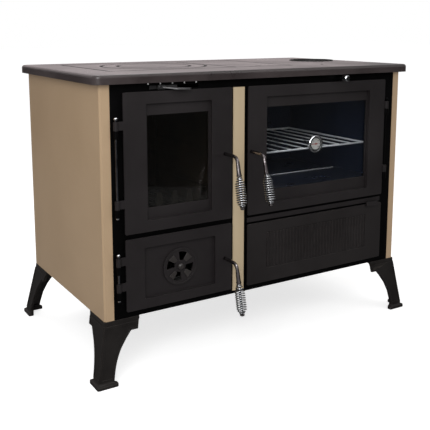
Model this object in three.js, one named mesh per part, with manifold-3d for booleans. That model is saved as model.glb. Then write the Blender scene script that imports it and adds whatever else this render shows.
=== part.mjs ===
// Wood-burning cookstove: glazed firebox door and ash door on the left, glazed oven door and
// wood drawer on the right, lift-off cooking plates, four splayed cast legs.
// Millimetres, +Z up, the front faces -Y. Inside the casing group z = 0 is the casing's lower edge,
// x = 0 its left side and y = 0 its front face.
import * as THREE from "three";
import { mergeVertices } from "three/addons/utils/BufferGeometryUtils.js";
import Module from "manifold-3d";

const wasm = await Module();
wasm.setup();

// Fits that the whole stove shares
const gap = 0.3;
const running = 0.35;
const overrun = 6;
const weld = 0.001;
const degree = Math.PI / 180;

// Casing
const casing = {
  depth: 586, sheet: 2, flange: 28.4, rearFlange: 20, bendRadius: 5,
  frameBack: 1, frameSheet: 4, baseSheet: 2,
};

// Doors and drawer front: two columns and two rows, which also set the casing's width and height
const layout = {
  leftMargin: 63, rightMargin: 71, leftWidth: 340, rightWidth: 543, columnGap: 57,
  bottom: 18, ashHeight: 204, rowGap: 14, upperHeight: 385, drawerHeight: 190, topRail: 23,
};
const doorPlate = {
  proud: 8, thickness: 5, cornerRadius: 4, panWall: 3, recessDepth: 9, overlap: 11,
};
const strip = { width: 40.2, fromTop: 1, bottom: 10, proud: 2.5, foldWidth: 1.5 };
const sill = { height: 14, aboveDrawer: 5, proud: 3, side: 2 };

// Hinges
const hinge = {
  fromLeftDoor: 22, fromOvenDoor: 8, knuckle: 7, rod: 3, leafHeight: 23, lugHeight: 22, lugWidth: 14,
  footCapRadius: 4.6, footCapHeight: 5, neckHeight: 3, ballRadius: 5, ballHeight: 10,
};

// Recesses, window openings and glass, counted from the door's own edges
const firebox = {
  recessSide: 67, recessTop: 33, recessBottom: 32, windowSide: 6, windowTop: 32, windowBottom: 33,
  leafTop: 76, leafBottom: 74, handleIn: 23, handleDown: 191, handleTurn: 1.5,
};
const ash = {
  recessSide: 56, recessTop: 30, recessBottom: 28, leafTop: 47, leafBottom: 62,
  handleIn: 23, handleDown: 104, handleTurn: 1,
};
const oven = {
  recessSide: 66, recessTop: 33, recessBottom: 29, windowSide: 7, windowTop: 32, windowBottom: 38,
  leafTop: 73, leafBottom: 76, handleIn: 12, handleDown: 192.5, handleTurn: -1,
  frameLeft: 30, frameRight: 20, frameTop: 25, frameBottom: 15,
  latchSlotHigh: 37, latchSlotWide: 21, latchSlotLeft: 11,
};
const glazing = {
  pane: 4, lap: 8, around: 1.5, frameSheet: 2, frameRim: 1.2,
};
const gasket = { width: 5, inset: 1 };

// Handles: a bent bar through the door, a coil-spring grip, a latch tongue behind
const handle = {
  barRadius: 5, reach: 45, bendRadius: 22, lean: 14, neck: 33, neckEnd: 6.6, neckRadius: 5.4,
  collar: 7.6, collarHeight: 5, core: 3.8, tip: 7, tipHeight: 5,
  tongueLong: 9.4, tongueSheet: 6, tongueHalf: 5.2, behind: 7, boreClear: 0.4, nut: 7.5, nutHeight: 3,
};
const spring = {
  wire: 1.8, gripLong: 88, curls: 14, endRadius: 6.6, waistRadius: 13.6, upperShare: 0.24, lowerShare: 0.14,
  nearShare: 0.6,
};

// Air rosette on the ash door
const rosette = {
  radius: 54, sheet: 3.2, rim: 5, inner: 17, outer: 43, openings: 4, turn: 75, openShare: 0.46,
  hub: 9, hubProud: 9, hubTopShare: 0.6, hubEdgeShare: 0.4, shank: 3, nut: 6, nutHeight: 4,
  bore: 3.4, rimProud: 1.6,
};

// Oven thermometer, set in the oven glass
const gauge = {
  radius: 27.5, bezel: 4, proud: 9, dialDepth: 4, neck: 6, neckClear: 0.5, nut: 12, nutHeight: 4,
  stem: 3, stemLong: 50, pin: 1, pinLong: 1.6, needleLong: 19, needleTail: 7, needleHalf: 1.4,
  needleSheet: 0.8, needleHub: 3, needlePoint: 0.5, leftOfMiddle: 12,
};

// Wood drawer
const drawer = {
  reliefSide: 69, reliefTop: 32, reliefBottom: 44, reliefDepth: 2.5, ribs: 33, ribShare: 0.56,
  ribTopShare: 0.5, sheet: 2, behind: 158.7, frameInset: 20, boxClear: 4, boxTop: 14,
  runnerWidth: 20, runnerHigh: 42, runnerSheet: 2, runnerEnd: 12,
  pullWidth: 50, pullHigh: 14, pullDeep: 7, pullAbove: 8, pullFromRight: 20, pullCorner: 3,
};

// Hob, lift-off plates and flue
const hob = {
  overhang: 20, thickness: 25, skin: 10, rim: 24, corner: 20, edge: 8, ledge: 9, crossBar: 22,
  platesLeft: 85, platesFront: 125, platesRight: 720, platesFromBack: 71, plateSplit: 505,
  plateCorner: 14, slotFromEdge: 36, plateEdge: 2,
};
const rings = {
  fromSplit: 185, outerShare: 0.846, innerShare: 0.59, step: 8, slotLong: 26, slotWide: 7,
};
const flue = {
  fromRight: 91, fromBack: 234, bore: 75, wall: 4, proud: 3, drop: 38, flange: 6, flangeSheet: 4,
};

// Firebox shell, lining, grate and ash pan
const shell = {
  beyondLeft: 29, beyondRight: 37, fromBack: 66, fromTop: 4, sheet: 3, shelfAbove: 4, shelfSheet: 4,
  throatFront: 100, throatFromBack: 120, throatHigh: 40,
};
const lining = { thickness: 30, belowTop: 40 };
const grate = {
  side: 71, front: 60, fromBack: 140, thickness: 14, border: 16, slots: 9, barShare: 0.5,
  holeInset: 12,
};
const retainer = {
  front: 35, thickness: 8, barHigh: 32, toothHigh: 90, teeth: 7, base: 28, point: 14,
};
const ashPan = { side: 14, front: 22, behind: 88, height: 76, sheet: 2, lip: 6, lipInset: 48 };

// Oven
const mouth = {
  inset: 12, sill: 47, wall: 3, depth: 185, flangeLap: 6, flange: 3, rearFlange: 12, step: 7,
};
const ovenBox = { behind: 115.7, wall: 2, ledgeWide: 24, ledgeHigh: 5, rackHeight: 118 };
const rack = { side: 20, front: 39, back: 20, frame: 3, wire: 2, gaps: 9 };

// Smoke shelf and damper
const shelf = {
  below: 36, sheet: 3, fromRight: 314, front: 200, holeFromLeft: 30, holeWidth: 80, holeFront: 290,
  holeDepth: 50,
};
const damper = {
  fromHole: 26, below: 12, rod: 4, knob: 9.5, knobLong: 22, neckLong: 10, boss: 12, bossProud: 3,
  lap: 10, plate: 3, tab: 3, tabWide: 30, knobRound: 2.5,
};

// Air lever and its slot under the hob
const lever = {
  fromDoor: 124, below: 14, stem: 4, high: 4, slotHigh: 10, travelLeft: 36, travelRight: 104, slotEnd: 2,
  tabWide: 22, tabHigh: 12, tabSheet: 3, slider: 3, sliderHalf: 45, sliderHigh: 24,
  tipX: 74, tipOut: 33, tipHalf: 9, rootOut: 4, bellyX: 40, bellyOut: 13, bellyHalf: 9, bolt: 4.5,
  boltHigh: 3, boltLeft: 6, cranked: 5, crankFrom: 26,
};

// Cast legs
const leg = {
  height: 178, bracket: 103, bracketHigh: 36, bracketFoot: 82, wall: 7, ankle: 44,
  sideSplay: 28, frontSplay: 20, rearSplay: 40,
  lip: 10, lipProud: 1, topSheet: 6, footRise: 10, footEdge: 4, footFlare: 8, footLong: 62,
  waistShares: [[0.31, 0.695], [0.495, 0.534], [0.68, 0.447], [0.9, 0.422]],
  webWide: 40,
};

// Facets
const facetCounts = { fine: 40, round: 24, bar: 12, corner: 4, curl: 8, wire: 5, bend: 6, edge: 3 };

// Materials
function material(color, roughness, metalness) {
  return new THREE.MeshStandardMaterial({ color, roughness, metalness });
}
const beige = material("#a39072", 0.45, 0.0);
const hobIron = material("#4b4541", 0.5, 0.4);
const doorIron = material("#272423", 0.6, 0.3);
const blackSteel = material("#0c0c0d", 0.6, 0.3);
const castIron = material("#25211f", 0.65, 0.4);
const chrome = material("#d7d8da", 0.12, 1.0);
const brick = material("#8a7c66", 0.9, 0.0);
const enamel = material("#1d2735", 0.25, 0.1);
const glassPane = new THREE.MeshStandardMaterial({
  color: "#20242a", roughness: 0.05, metalness: 0.0, transparent: true, opacity: 0.35,
});
const rope = material("#3a3a38", 0.95, 0.0);
const rawSteel = material("#6f6f70", 0.4, 0.9);
const dialWhite = material("#d9d7cf", 0.5, 0.1);
const needleRed = material("#a02a20", 0.5, 0.1);

// Closed solid from a geometry, with its shared points joined
function solidOf(geometry) {
  const bare = geometry.index ? geometry.toNonIndexed() : geometry.clone();
  bare.deleteAttribute("normal");
  bare.deleteAttribute("uv");
  const joined = mergeVertices(bare, weld);
  const skin = new wasm.Mesh({
    numProp: 3,
    vertProperties: new Float32Array(joined.attributes.position.array),
    triVerts: new Uint32Array(joined.index.array),
  });
  skin.merge();
  return new wasm.Manifold(skin);
}

// Box between two corners
function block(x, y, z) {
  const geometry = new THREE.BoxGeometry(x[1] - x[0], y[1] - y[0], z[1] - z[0]);
  geometry.translate((x[0] + x[1]) / 2, (y[0] + y[1]) / 2, (z[0] + z[1]) / 2);
  return solidOf(geometry);
}

// Round bar along one axis; at holds its other two coordinates in x, y, z order
function bar(axis, radius, from, to, at, sides = facetCounts.bar) {
  const geometry = new THREE.CylinderGeometry(radius, radius, to - from, sides);
  const middle = (from + to) / 2;
  if (axis === "x") {
    geometry.rotateZ(Math.PI / 2);
    geometry.translate(middle, at[0], at[1]);
  } else if (axis === "y") {
    geometry.translate(at[0], middle, at[1]);
  } else {
    geometry.rotateX(Math.PI / 2);
    geometry.translate(at[0], at[1], middle);
  }
  return solidOf(geometry);
}

// Rectangle with round corners, drawn in the sheet's own plane
function roundRectangle(u, v, radius) {
  const outline = new THREE.Shape();
  outline.moveTo(u[0] + radius, v[0]);
  outline.lineTo(u[1] - radius, v[0]);
  outline.absarc(u[1] - radius, v[0] + radius, radius, -Math.PI / 2, 0);
  outline.lineTo(u[1], v[1] - radius);
  outline.absarc(u[1] - radius, v[1] - radius, radius, 0, Math.PI / 2);
  outline.lineTo(u[0] + radius, v[1]);
  outline.absarc(u[0] + radius, v[1] - radius, radius, Math.PI / 2, Math.PI);
  outline.lineTo(u[0], v[0] + radius);
  outline.absarc(u[0] + radius, v[0] + radius, radius, Math.PI, 1.5 * Math.PI);
  return outline;
}

// Outline in x and z, thick from y[0] to y[1]
function frontSheet(outline, y, segments = facetCounts.corner) {
  const geometry = new THREE.ExtrudeGeometry(outline, {
    depth: y[1] - y[0], bevelEnabled: false, curveSegments: segments,
  });
  geometry.rotateX(Math.PI / 2);
  geometry.translate(0, y[1], 0);
  return solidOf(geometry);
}

// Outline in x and y, thick from z[0] to z[1]
function flatSheet(outline, z, segments = facetCounts.corner) {
  const geometry = new THREE.ExtrudeGeometry(outline, {
    depth: z[1] - z[0], bevelEnabled: false, curveSegments: segments,
  });
  geometry.translate(0, 0, z[0]);
  return solidOf(geometry);
}

// Closed outline from corner points
function polygon(points) {
  return new THREE.Shape(points.map(([u, v]) => new THREE.Vector2(u, v)));
}

// Turned piece about a line along y through x and z; profile points are [radius, y]
function turnedAlongY(profile, x, z, sides = facetCounts.round) {
  const geometry = new THREE.LatheGeometry(profile.map(([r, y]) => new THREE.Vector2(r, y)), sides);
  geometry.translate(x, 0, z);
  return solidOf(geometry);
}

// Turned piece about a vertical line through x and y; profile points are [radius, z]
function turnedAlongZ(profile, x, y, sides = facetCounts.fine) {
  const geometry = new THREE.LatheGeometry(profile.map(([r, z]) => new THREE.Vector2(r, z)), sides);
  geometry.rotateX(Math.PI / 2);
  geometry.translate(x, y, 0);
  return solidOf(geometry);
}

// Named mesh from a finished solid
function piece(name, solid, finish) {
  const found = solid.getMesh();
  const geometry = new THREE.BufferGeometry();
  const stride = found.numProp;
  const count = found.vertProperties.length / stride;
  const places = new Float32Array(count * 3);
  for (let i = 0; i < count; i += 1) {
    places.set(found.vertProperties.subarray(i * stride, i * stride + 3), i * 3);
  }
  geometry.setAttribute("position", new THREE.BufferAttribute(places, 3));
  geometry.setIndex(new THREE.BufferAttribute(new Uint32Array(found.triVerts), 1));
  geometry.computeVertexNormals();
  const mesh = new THREE.Mesh(geometry, finish);
  mesh.name = name;
  return mesh;
}

function grow(range, amount) {
  return [range[0] - amount, range[1] + amount];
}
function middleOf(range) {
  return (range[0] + range[1]) / 2;
}

// Middles of a number of equal parts of a range
function evenly(range, count) {
  const pitch = (range[1] - range[0]) / count;
  return Array.from({ length: count }, (_, i) => range[0] + (i + 0.5) * pitch);
}

// Places that follow from the sizes above
const casingWidth = layout.leftMargin + layout.leftWidth + layout.columnGap + layout.rightWidth
  + layout.rightMargin;
const casingHeight = layout.bottom + layout.ashHeight + layout.rowGap + layout.upperHeight
  + layout.topRail;
const frameY = [casing.frameBack, casing.frameBack + casing.frameSheet];
const behindFrame = frameY[1] + gap;
const casingTop = casingHeight - gap;
const leftColumn = [layout.leftMargin, layout.leftMargin + layout.leftWidth];
const rightEdge = casingWidth - layout.rightMargin;
const rightColumn = [rightEdge - layout.rightWidth, rightEdge];
const ashRow = [layout.bottom, layout.bottom + layout.ashHeight];
const upperRow = [ashRow[1] + layout.rowGap, ashRow[1] + layout.rowGap + layout.upperHeight];
const drawerRow = [layout.bottom, layout.bottom + layout.drawerHeight];
const plateY = [-doorPlate.proud, -doorPlate.proud + doorPlate.thickness];
const panBack = plateY[0] + doorPlate.recessDepth + doorPlate.panWall;
const hingeY = plateY[0];
const leftHingeX = leftColumn[0] - hinge.fromLeftDoor;
const rightHingeX = rightColumn[1] + hinge.fromOvenDoor;
const fireFrame = { x: grow(leftColumn, -doorPlate.overlap), z: grow(upperRow, -doorPlate.overlap) };
const ashFrame = { x: fireFrame.x, z: grow(ashRow, -doorPlate.overlap) };
const ovenFrame = {
  x: [rightColumn[0] + oven.frameLeft, rightColumn[1] - oven.frameRight],
  z: [upperRow[0] + oven.frameBottom, upperRow[1] - oven.frameTop],
};
const drawerFrame = {
  x: grow(rightColumn, -drawer.frameInset), z: grow(drawerRow, -drawer.frameInset),
};
const hobTop = casingHeight + hob.thickness;
const shellX = [leftColumn[0] - shell.beyondLeft, leftColumn[1] + shell.beyondRight];
const shellBack = casing.depth - shell.fromBack;
const shellTop = casingHeight - shell.fromTop;
const shelfTop = upperRow[0] + shell.shelfAbove;
const smokeX = [casingWidth - shelf.fromRight, casingWidth - casing.sheet - gap];
const smokeHoleX = [
  smokeX[0] + shelf.holeFromLeft, smokeX[0] + shelf.holeFromLeft + shelf.holeWidth,
];
const smokeZ = [casingHeight - shelf.below, casingHeight - shelf.below + shelf.sheet];
const knobAt = { x: smokeHoleX[0] + damper.fromHole, z: casingHeight - damper.below };
const leverAt = { x: leftColumn[0] + lever.fromDoor, z: casingHeight - lever.below };
const flueAt = { x: casingWidth - flue.fromRight, y: casing.depth - flue.fromBack };
const backPanelY = [
  casing.depth - casing.sheet * 2 - gap, casing.depth - casing.sheet - gap,
];
const insideX = grow([0, casingWidth], -casing.sheet - gap);
const baseTop = casing.baseSheet;
const hingeSets = [
  { x: leftHingeX, row: upperRow, top: firebox.leafTop, bottom: firebox.leafBottom, name: "firebox" },
  { x: leftHingeX, row: ashRow, top: ash.leafTop, bottom: ash.leafBottom, name: "ash" },
  { x: rightHingeX, row: upperRow, top: oven.leafTop, bottom: oven.leafBottom, name: "oven" },
];

// Height ranges of a door's two hinge leaves, upper one first
function leafRanges(set) {
  const upperTop = set.row[1] - set.top;
  const lowerBottom = set.row[0] + set.bottom;
  return [[upperTop - hinge.leafHeight, upperTop], [lowerBottom, lowerBottom + hinge.leafHeight]];
}

// Side panel: a folded sheet with a wide front return and a narrow rear one
function sidePanel(name, mirrored) {
  const place = (u) => (mirrored ? casingWidth - u : u);
  const points = [
    [0, casing.bendRadius], [casing.bendRadius, 0], [casing.flange, 0], [casing.flange, casing.sheet],
    [casing.bendRadius, casing.sheet], [casing.sheet, casing.bendRadius],
    [casing.sheet, casing.depth - casing.sheet], [casing.rearFlange, casing.depth - casing.sheet],
    [casing.rearFlange, casing.depth], [0, casing.depth],
  ].map(([u, v]) => [place(u), v]);
  if (mirrored) points.reverse();
  const roundCorner = roundRectangle(
    [place(mirrored ? casingWidth : 0), place(mirrored ? 0 : casingWidth)],
    [0, casing.depth + casing.bendRadius], casing.bendRadius,
  );
  const body = flatSheet(polygon(points), [0, casingTop]);
  return piece(name, body.intersect(flatSheet(roundCorner, [0, casingTop])), beige);
}

// Black front frame with the door openings, hinge lugs, lever slot and knob boss
function frontFrame() {
  const left = casing.flange + gap;
  let frame = block([left, casingWidth - left], frameY, [0, casingTop]);
  const through = grow(frameY, overrun);
  for (const hole of [fireFrame, ashFrame, ovenFrame, drawerFrame]) {
    frame = frame.subtract(block(hole.x, through, hole.z));
  }
  const latchX = [
    rightColumn[0] + oven.handleIn - oven.latchSlotLeft,
    rightColumn[0] + oven.handleIn - oven.latchSlotLeft + oven.latchSlotWide,
  ];
  const latchZ = upperRow[1] - oven.handleDown;
  frame = frame.subtract(block(
    latchX, through, [latchZ - oven.latchSlotHigh / 2, latchZ + oven.latchSlotHigh / 2],
  ));
  const slotX = [
    leverAt.x - lever.stem - lever.travelLeft - lever.slotEnd,
    leverAt.x + lever.stem + lever.travelRight + lever.slotEnd,
  ];
  const slotZ = [leverAt.z - lever.slotHigh / 2, leverAt.z + lever.slotHigh / 2];
  frame = frame.subtract(block(slotX, through, slotZ));
  for (const set of hingeSets) {
    for (const leaf of leafRanges(set)) {
      const lugZ = [leaf[0] - gap - hinge.lugHeight, leaf[0] - gap];
      const web = block(
        grow([set.x, set.x], hinge.lugWidth / 2), [hingeY, frameY[0] + casing.frameSheet / 2], lugZ,
      );
      const knuckle = bar("z", hinge.knuckle, lugZ[0], lugZ[1], [set.x, hingeY], facetCounts.round);
      frame = frame.add(web).add(knuckle);
      const bore = hinge.rod + running;
      frame = frame.subtract(bar("z", bore, lugZ[0] - overrun, lugZ[1] + overrun, [set.x, hingeY]));
    }
  }
  const boss = bar(
    "y", damper.boss, frameY[0] - damper.bossProud, frameY[0] + casing.frameSheet / 2,
    [knobAt.x, knobAt.z], facetCounts.round,
  );
  const bore = bar(
    "y", damper.rod + running, -doorPlate.proud - overrun, frameY[1] + overrun,
    [knobAt.x, knobAt.z], facetCounts.round,
  );
  frame = frame.add(boss).subtract(bore);
  return piece("front_frame", frame, blackSteel);
}

// Beige strip between the two columns, folded along both sides
function centerStrip() {
  const middle = (leftColumn[1] + rightColumn[0]) / 2;
  const half = strip.width / 2;
  const y = [frameY[0] - gap - strip.proud, frameY[0] - gap];
  const outline = polygon([
    [middle - half, y[1]], [middle - half, y[0] + strip.foldWidth], [middle - half + strip.foldWidth, y[0]],
    [middle + half - strip.foldWidth, y[0]], [middle + half, y[0] + strip.foldWidth], [middle + half, y[1]],
  ]);
  const z = [strip.bottom, upperRow[1] - strip.fromTop];
  return piece("center_strip", flatSheet(outline, z), beige);
}

// Rail between the drawer and the oven door
function sillStrip() {
  const bottom = drawerRow[1] + sill.aboveDrawer;
  const x = grow(rightColumn, -sill.side);
  const y = [frameY[0] - gap - sill.proud, frameY[0] - gap];
  return piece("sill_strip", block(x, y, [bottom, bottom + sill.height]), doorIron);
}

function backPanel() {
  return piece("back_panel", block(insideX, backPanelY, [0, casingTop]), blackSteel);
}

function basePlate() {
  const y = [behindFrame, backPanelY[0] - gap];
  return piece("base_plate", block(insideX, y, [0, baseTop]), blackSteel);
}

// One corner leg: two cast walls that lean outwards, a top web and a flared foot under each wall
function castLeg(name, mirrorX, mirrorY) {
  const drop = leg.height - leg.footRise - leg.footEdge;
  const splay = [leg.sideSplay, mirrorY ? leg.rearSplay : leg.frontSplay];
  const leaning = (x, y, z) => [x + (z * splay[0]) / drop, y + (z * splay[1]) / drop, z];
  const leaningSide = (x, y, z) => leaning(y, x, z);
  const outline = [
    [0, 0], [leg.bracket, 0], [leg.bracket, -leg.bracketHigh], [leg.bracketFoot, -leg.bracketHigh],
  ];
  for (const [down, out] of leg.waistShares) {
    outline.push([out * leg.bracket, -down * drop]);
  }
  outline.push([leg.ankle, -drop], [0, -drop]);
  const lipOutline = [
    [-leg.lipProud, 0], [leg.bracket, 0], [leg.bracket, -leg.lip], [-leg.lipProud, -leg.lip],
  ];
  const proud = leg.lipProud;
  const web = polygon([
    [0, 0], [leg.bracket, 0], [leg.bracket, leg.webWide], [leg.webWide, leg.bracket],
    [0, leg.bracket],
  ]);
  let solid = wallBetween(outline, leg.wall, leaning)
    .add(wallBetween(outline, leg.wall, leaningSide, true))
    .add(wallBetween(lipOutline, leg.wall + proud, (x, y, z) => [x, y - proud, z]))
    .add(wallBetween(lipOutline, leg.wall + proud, (x, y, z) => [y - proud, x, z], true))
    .add(flatSheet(web, [-leg.topSheet, 0]));
  for (const along of [0, 1]) {
    solid = solid.add(footFlange(drop, splay, along)).add(footEdge(drop, splay, along));
  }
  const places = (x, y, z) => [
    mirrorX ? casingWidth - x : x, mirrorY ? casing.depth - y : y, z - gap,
  ];
  return piece(name, reshaped(solid, places, mirrorX !== mirrorY), castIron);
}

// Spread foot under one wall of a leg: narrow at the ankle, wider at the bottom
function footFlange(drop, splay, along) {
  const narrow = along === 0 ? [leg.ankle, leg.wall] : [leg.wall, leg.ankle];
  const wide = footSize(along);
  const rise = block([0, 1], [0, 1], [-leg.footRise, 0]);
  return reshaped(rise, (x, y, z) => (z < -leg.footRise / 2
    ? [x * wide[0] - splay[0] - leg.footFlare, y * wide[1] - splay[1] - leg.footFlare, z - drop]
    : [x * narrow[0] - splay[0], y * narrow[1] - splay[1], z - drop]));
}
function footEdge(drop, splay, along) {
  const wide = footSize(along);
  const corner = [-splay[0] - leg.footFlare, -splay[1] - leg.footFlare];
  const bottom = gap - leg.height;
  return block(
    [corner[0], corner[0] + wide[0]], [corner[1], corner[1] + wide[1]],
    [bottom, -drop - leg.footRise],
  );
}
function footSize(along) {
  const thick = leg.wall + leg.footFlare;
  return along === 0 ? [leg.footLong, thick] : [thick, leg.footLong];
}

// Thin wall from an outline in x and z, thick along +y, each point moved by a rule
function wallBetween(outline, thickness, rule, turned = false) {
  const flat = frontSheet(polygon(outline.slice().reverse()), [0, thickness]);
  return reshaped(flat, rule, turned);
}

// The same solid with each point moved by a rule; flipped is true where the rule mirrors it
function reshaped(solid, rule, flipped = false) {
  const found = solid.getMesh();
  const places = new Float32Array(found.vertProperties.length);
  for (let i = 0; i < places.length; i += 3) {
    places.set(rule(...found.vertProperties.subarray(i, i + 3)), i);
  }
  const corners = new Uint32Array(found.triVerts);
  if (flipped) {
    for (let i = 0; i < corners.length; i += 3) {
      [corners[i], corners[i + 1]] = [corners[i + 1], corners[i]];
    }
  }
  return new wasm.Manifold(new wasm.Mesh({
    numProp: 3, vertProperties: places, triVerts: corners,
  }));
}

// Hinge rod through leaves and lugs: a flat cap under the lower lug, a ball over the upper leaf
const ballShares = [[0.8, 0.08], [1, 0.34], [1, 0.6], [0.72, 0.9]];
function hingeRod(set) {
  const [upper, lower] = leafRanges(set);
  const bottom = lower[0] - gap - hinge.lugHeight - gap;
  const neck = upper[1] + gap + hinge.neckHeight;
  const profile = [
    [0, bottom - hinge.footCapHeight], [hinge.footCapRadius, bottom - hinge.footCapHeight],
    [hinge.footCapRadius, bottom], [hinge.rod, bottom], [hinge.rod, neck],
    ...ballShares.map(([out, up]) => [hinge.ballRadius * out, neck + hinge.ballHeight * up]),
    [0, neck + hinge.ballHeight],
  ];
  return piece(`${set.name}_hinge_rod`, turnedAlongZ(profile, set.x, hingeY, facetCounts.bar), rawSteel);
}

// Door plate with its two hinge leaves
function hingedPlate(x, set) {
  const towards = set.x < x[0] ? x[0] : x[1];
  const leafX = set.x < x[0] ? [set.x, towards + overrun] : [towards - overrun, set.x];
  let plate = frontSheet(roundRectangle(x, set.row, doorPlate.cornerRadius), plateY);
  for (const leaf of leafRanges(set)) {
    plate = plate.add(block(leafX, plateY, leaf));
    plate = plate.add(bar("z", hinge.knuckle, leaf[0], leaf[1], [set.x, hingeY], facetCounts.round));
    const bore = hinge.rod + running;
    plate = plate.subtract(
      bar("z", bore, leaf[0] - overrun, leaf[1] + overrun, [set.x, hingeY]),
    );
  }
  return plate;
}

// Recess pressed into a door plate, back from its face
function withRecess(plate, x, z) {
  const pan = frontSheet(
    roundRectangle(grow(x, doorPlate.panWall), grow(z, doorPlate.panWall), doorPlate.cornerRadius),
    [middleOf(plateY), panBack],
  );
  const pocket = frontSheet(
    roundRectangle(x, z, doorPlate.cornerRadius), [plateY[0] - overrun, panBack - doorPlate.panWall],
  );
  return plate.add(pan).subtract(pocket);
}

function handleBore(x, z) {
  const y = [plateY[0] - overrun, plateY[1] + overrun];
  return bar("y", handle.barRadius + handle.boreClear, y[0], y[1], [x, z], facetCounts.round);
}

// Recess and window of a glazed door, from its outline and its own sizes
function windowOf(x, z, own) {
  const recessX = grow(x, -own.recessSide);
  const recessZ = [z[0] + own.recessBottom, z[1] - own.recessTop];
  return {
    recessX, recessZ,
    x: grow(recessX, -own.windowSide),
    z: [recessZ[0] + own.windowBottom, recessZ[1] - own.windowTop],
  };
}
const fireWindow = windowOf(leftColumn, upperRow, firebox);
const ovenWindow = windowOf(rightColumn, upperRow, oven);
function handleRoot(x, top, own) {
  return { x, z: top - own.handleDown, turn: own.handleTurn * degree };
}
const fireHandle = handleRoot(leftColumn[1] - firebox.handleIn, upperRow[1], firebox);
const ashHandle = handleRoot(leftColumn[1] - ash.handleIn, ashRow[1], ash);
const ovenHandle = handleRoot(rightColumn[0] + oven.handleIn, upperRow[1], oven);
const gaugeAt = { x: middleOf(ovenWindow.x) - gauge.leftOfMiddle, z: middleOf(ovenWindow.z) };

function glazedDoor(name, x, set, view, grip) {
  let door = withRecess(hingedPlate(x, set), view.recessX, view.recessZ);
  door = door.subtract(block(view.x, [plateY[0] - overrun, panBack + overrun], view.z));
  door = door.subtract(handleBore(grip.x, grip.z));
  return piece(name, door, doorIron);
}

// Glass pane behind a window, with an optional round hole for the gauge
function pane(name, view, hole) {
  const y = [panBack + gap, panBack + gap + glazing.pane];
  let glass = block(grow(view.x, glazing.lap), y, grow(view.z, glazing.lap));
  if (hole) {
    const radius = gauge.neck + gauge.neckClear;
    glass = glass.subtract(
      bar("y", radius, y[0] - overrun, y[1] + overrun, [hole.x, hole.z], facetCounts.round),
    );
  }
  return piece(name, glass, glassPane);
}

// Sheet frame that holds the pane from behind and wraps its edge
function glassFrame(name, view) {
  const paneBack = panBack + gap + glazing.pane + gap;
  const innerRim = glazing.lap + glazing.around;
  const outerRim = innerRim + glazing.frameRim;
  const y = [panBack + gap, paneBack + glazing.frameSheet];
  const frame = block(grow(view.x, outerRim), y, grow(view.z, outerRim))
    .subtract(block(grow(view.x, innerRim), [y[0] - overrun, paneBack], grow(view.z, innerRim)))
    .subtract(block(view.x, grow(y, overrun), view.z));
  return piece(name, frame, blackSteel);
}

// Flat rope seal between a door's back and the front frame
function doorSeal(name, opening) {
  const y = [plateY[1] + gap, frameY[0] - gap];
  const inner = { x: grow(opening.x, gasket.inset), z: grow(opening.z, gasket.inset) };
  const outer = { x: grow(inner.x, gasket.width), z: grow(inner.z, gasket.width) };
  const seal = block(outer.x, y, outer.z).subtract(block(inner.x, grow(y, overrun), inner.z));
  return piece(name, seal, rope);
}

// Bent handle bar with its neck, spring collars and the latch tongue on its inner end
const gripDirection = new THREE.Vector3(
  0, -Math.sin(handle.lean * degree), -Math.cos(handle.lean * degree),
);
const bendEnd = new THREE.Vector3(
  0, -handle.reach - handle.bendRadius * Math.cos(handle.lean * degree),
  -handle.bendRadius * (1 - Math.sin(handle.lean * degree)),
);
function handleBar(name, at, tongueSide) {
  const inner = frameY[1] - plateY[0] + handle.behind;
  const path = new THREE.CurvePath();
  const start = new THREE.Vector3(0, inner, 0);
  const bendStart = new THREE.Vector3(0, -handle.reach, 0);
  path.add(new THREE.LineCurve3(start, bendStart));
  const sweep = 90 - handle.lean;
  let previous = bendStart;
  for (let i = 1; i <= facetCounts.bend; i += 1) {
    const angle = (sweep * i / facetCounts.bend) * degree;
    const next = new THREE.Vector3(
      0, -handle.reach - handle.bendRadius * Math.sin(angle),
      -handle.bendRadius * (1 - Math.cos(angle)),
    );
    path.add(new THREE.LineCurve3(previous, next));
    previous = next;
  }
  let solid = sweptBar([start, ...path.curves.map((part) => part.v2)], handle.barRadius, facetCounts.bar);
  const neckEnd = handle.neck;
  const springEnd = neckEnd + handle.collarHeight + spring.gripLong + gap * 2;
  const profile = [
    [0, -handle.barRadius / 2], [handle.barRadius, 0], [handle.neckRadius, handle.barRadius],
    [handle.neckEnd, neckEnd], [handle.collar, neckEnd],
    [handle.collar, neckEnd + handle.collarHeight], [handle.core, neckEnd + handle.collarHeight],
    [handle.core, springEnd], [handle.tip, springEnd], [handle.tip, springEnd + handle.tipHeight / 2],
    [handle.tip / 2, springEnd + handle.tipHeight], [0, springEnd + handle.tipHeight],
  ];
  solid = solid.add(alongGrip(profile));
  const tongueY = [inner - handle.tongueSheet, inner];
  const reach = tongueSide * handle.tongueLong;
  const tongueX = reach > 0 ? [0, reach] : [reach, 0];
  solid = solid.add(block(tongueX, tongueY, grow([0, 0], handle.tongueHalf)));
  solid = solid.add(bar("y", handle.nut, tongueY[0], inner, [0, 0], facetCounts.bend));
  const mesh = piece(name, solid, chrome);
  mesh.position.set(at.x, plateY[0], at.z);
  mesh.rotation.y = at.turn;
  return mesh;
}

// Turned piece whose axis is the grip, starting at the end of the bend
function alongGrip(profile) {
  const geometry = new THREE.LatheGeometry(
    profile.map(([r, y]) => new THREE.Vector2(r, y)), facetCounts.bar,
  );
  const turn = new THREE.Quaternion().setFromUnitVectors(new THREE.Vector3(0, 1, 0), gripDirection);
  geometry.applyQuaternion(turn);
  geometry.translate(bendEnd.x, bendEnd.y, bendEnd.z);
  return solidOf(geometry);
}

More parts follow.
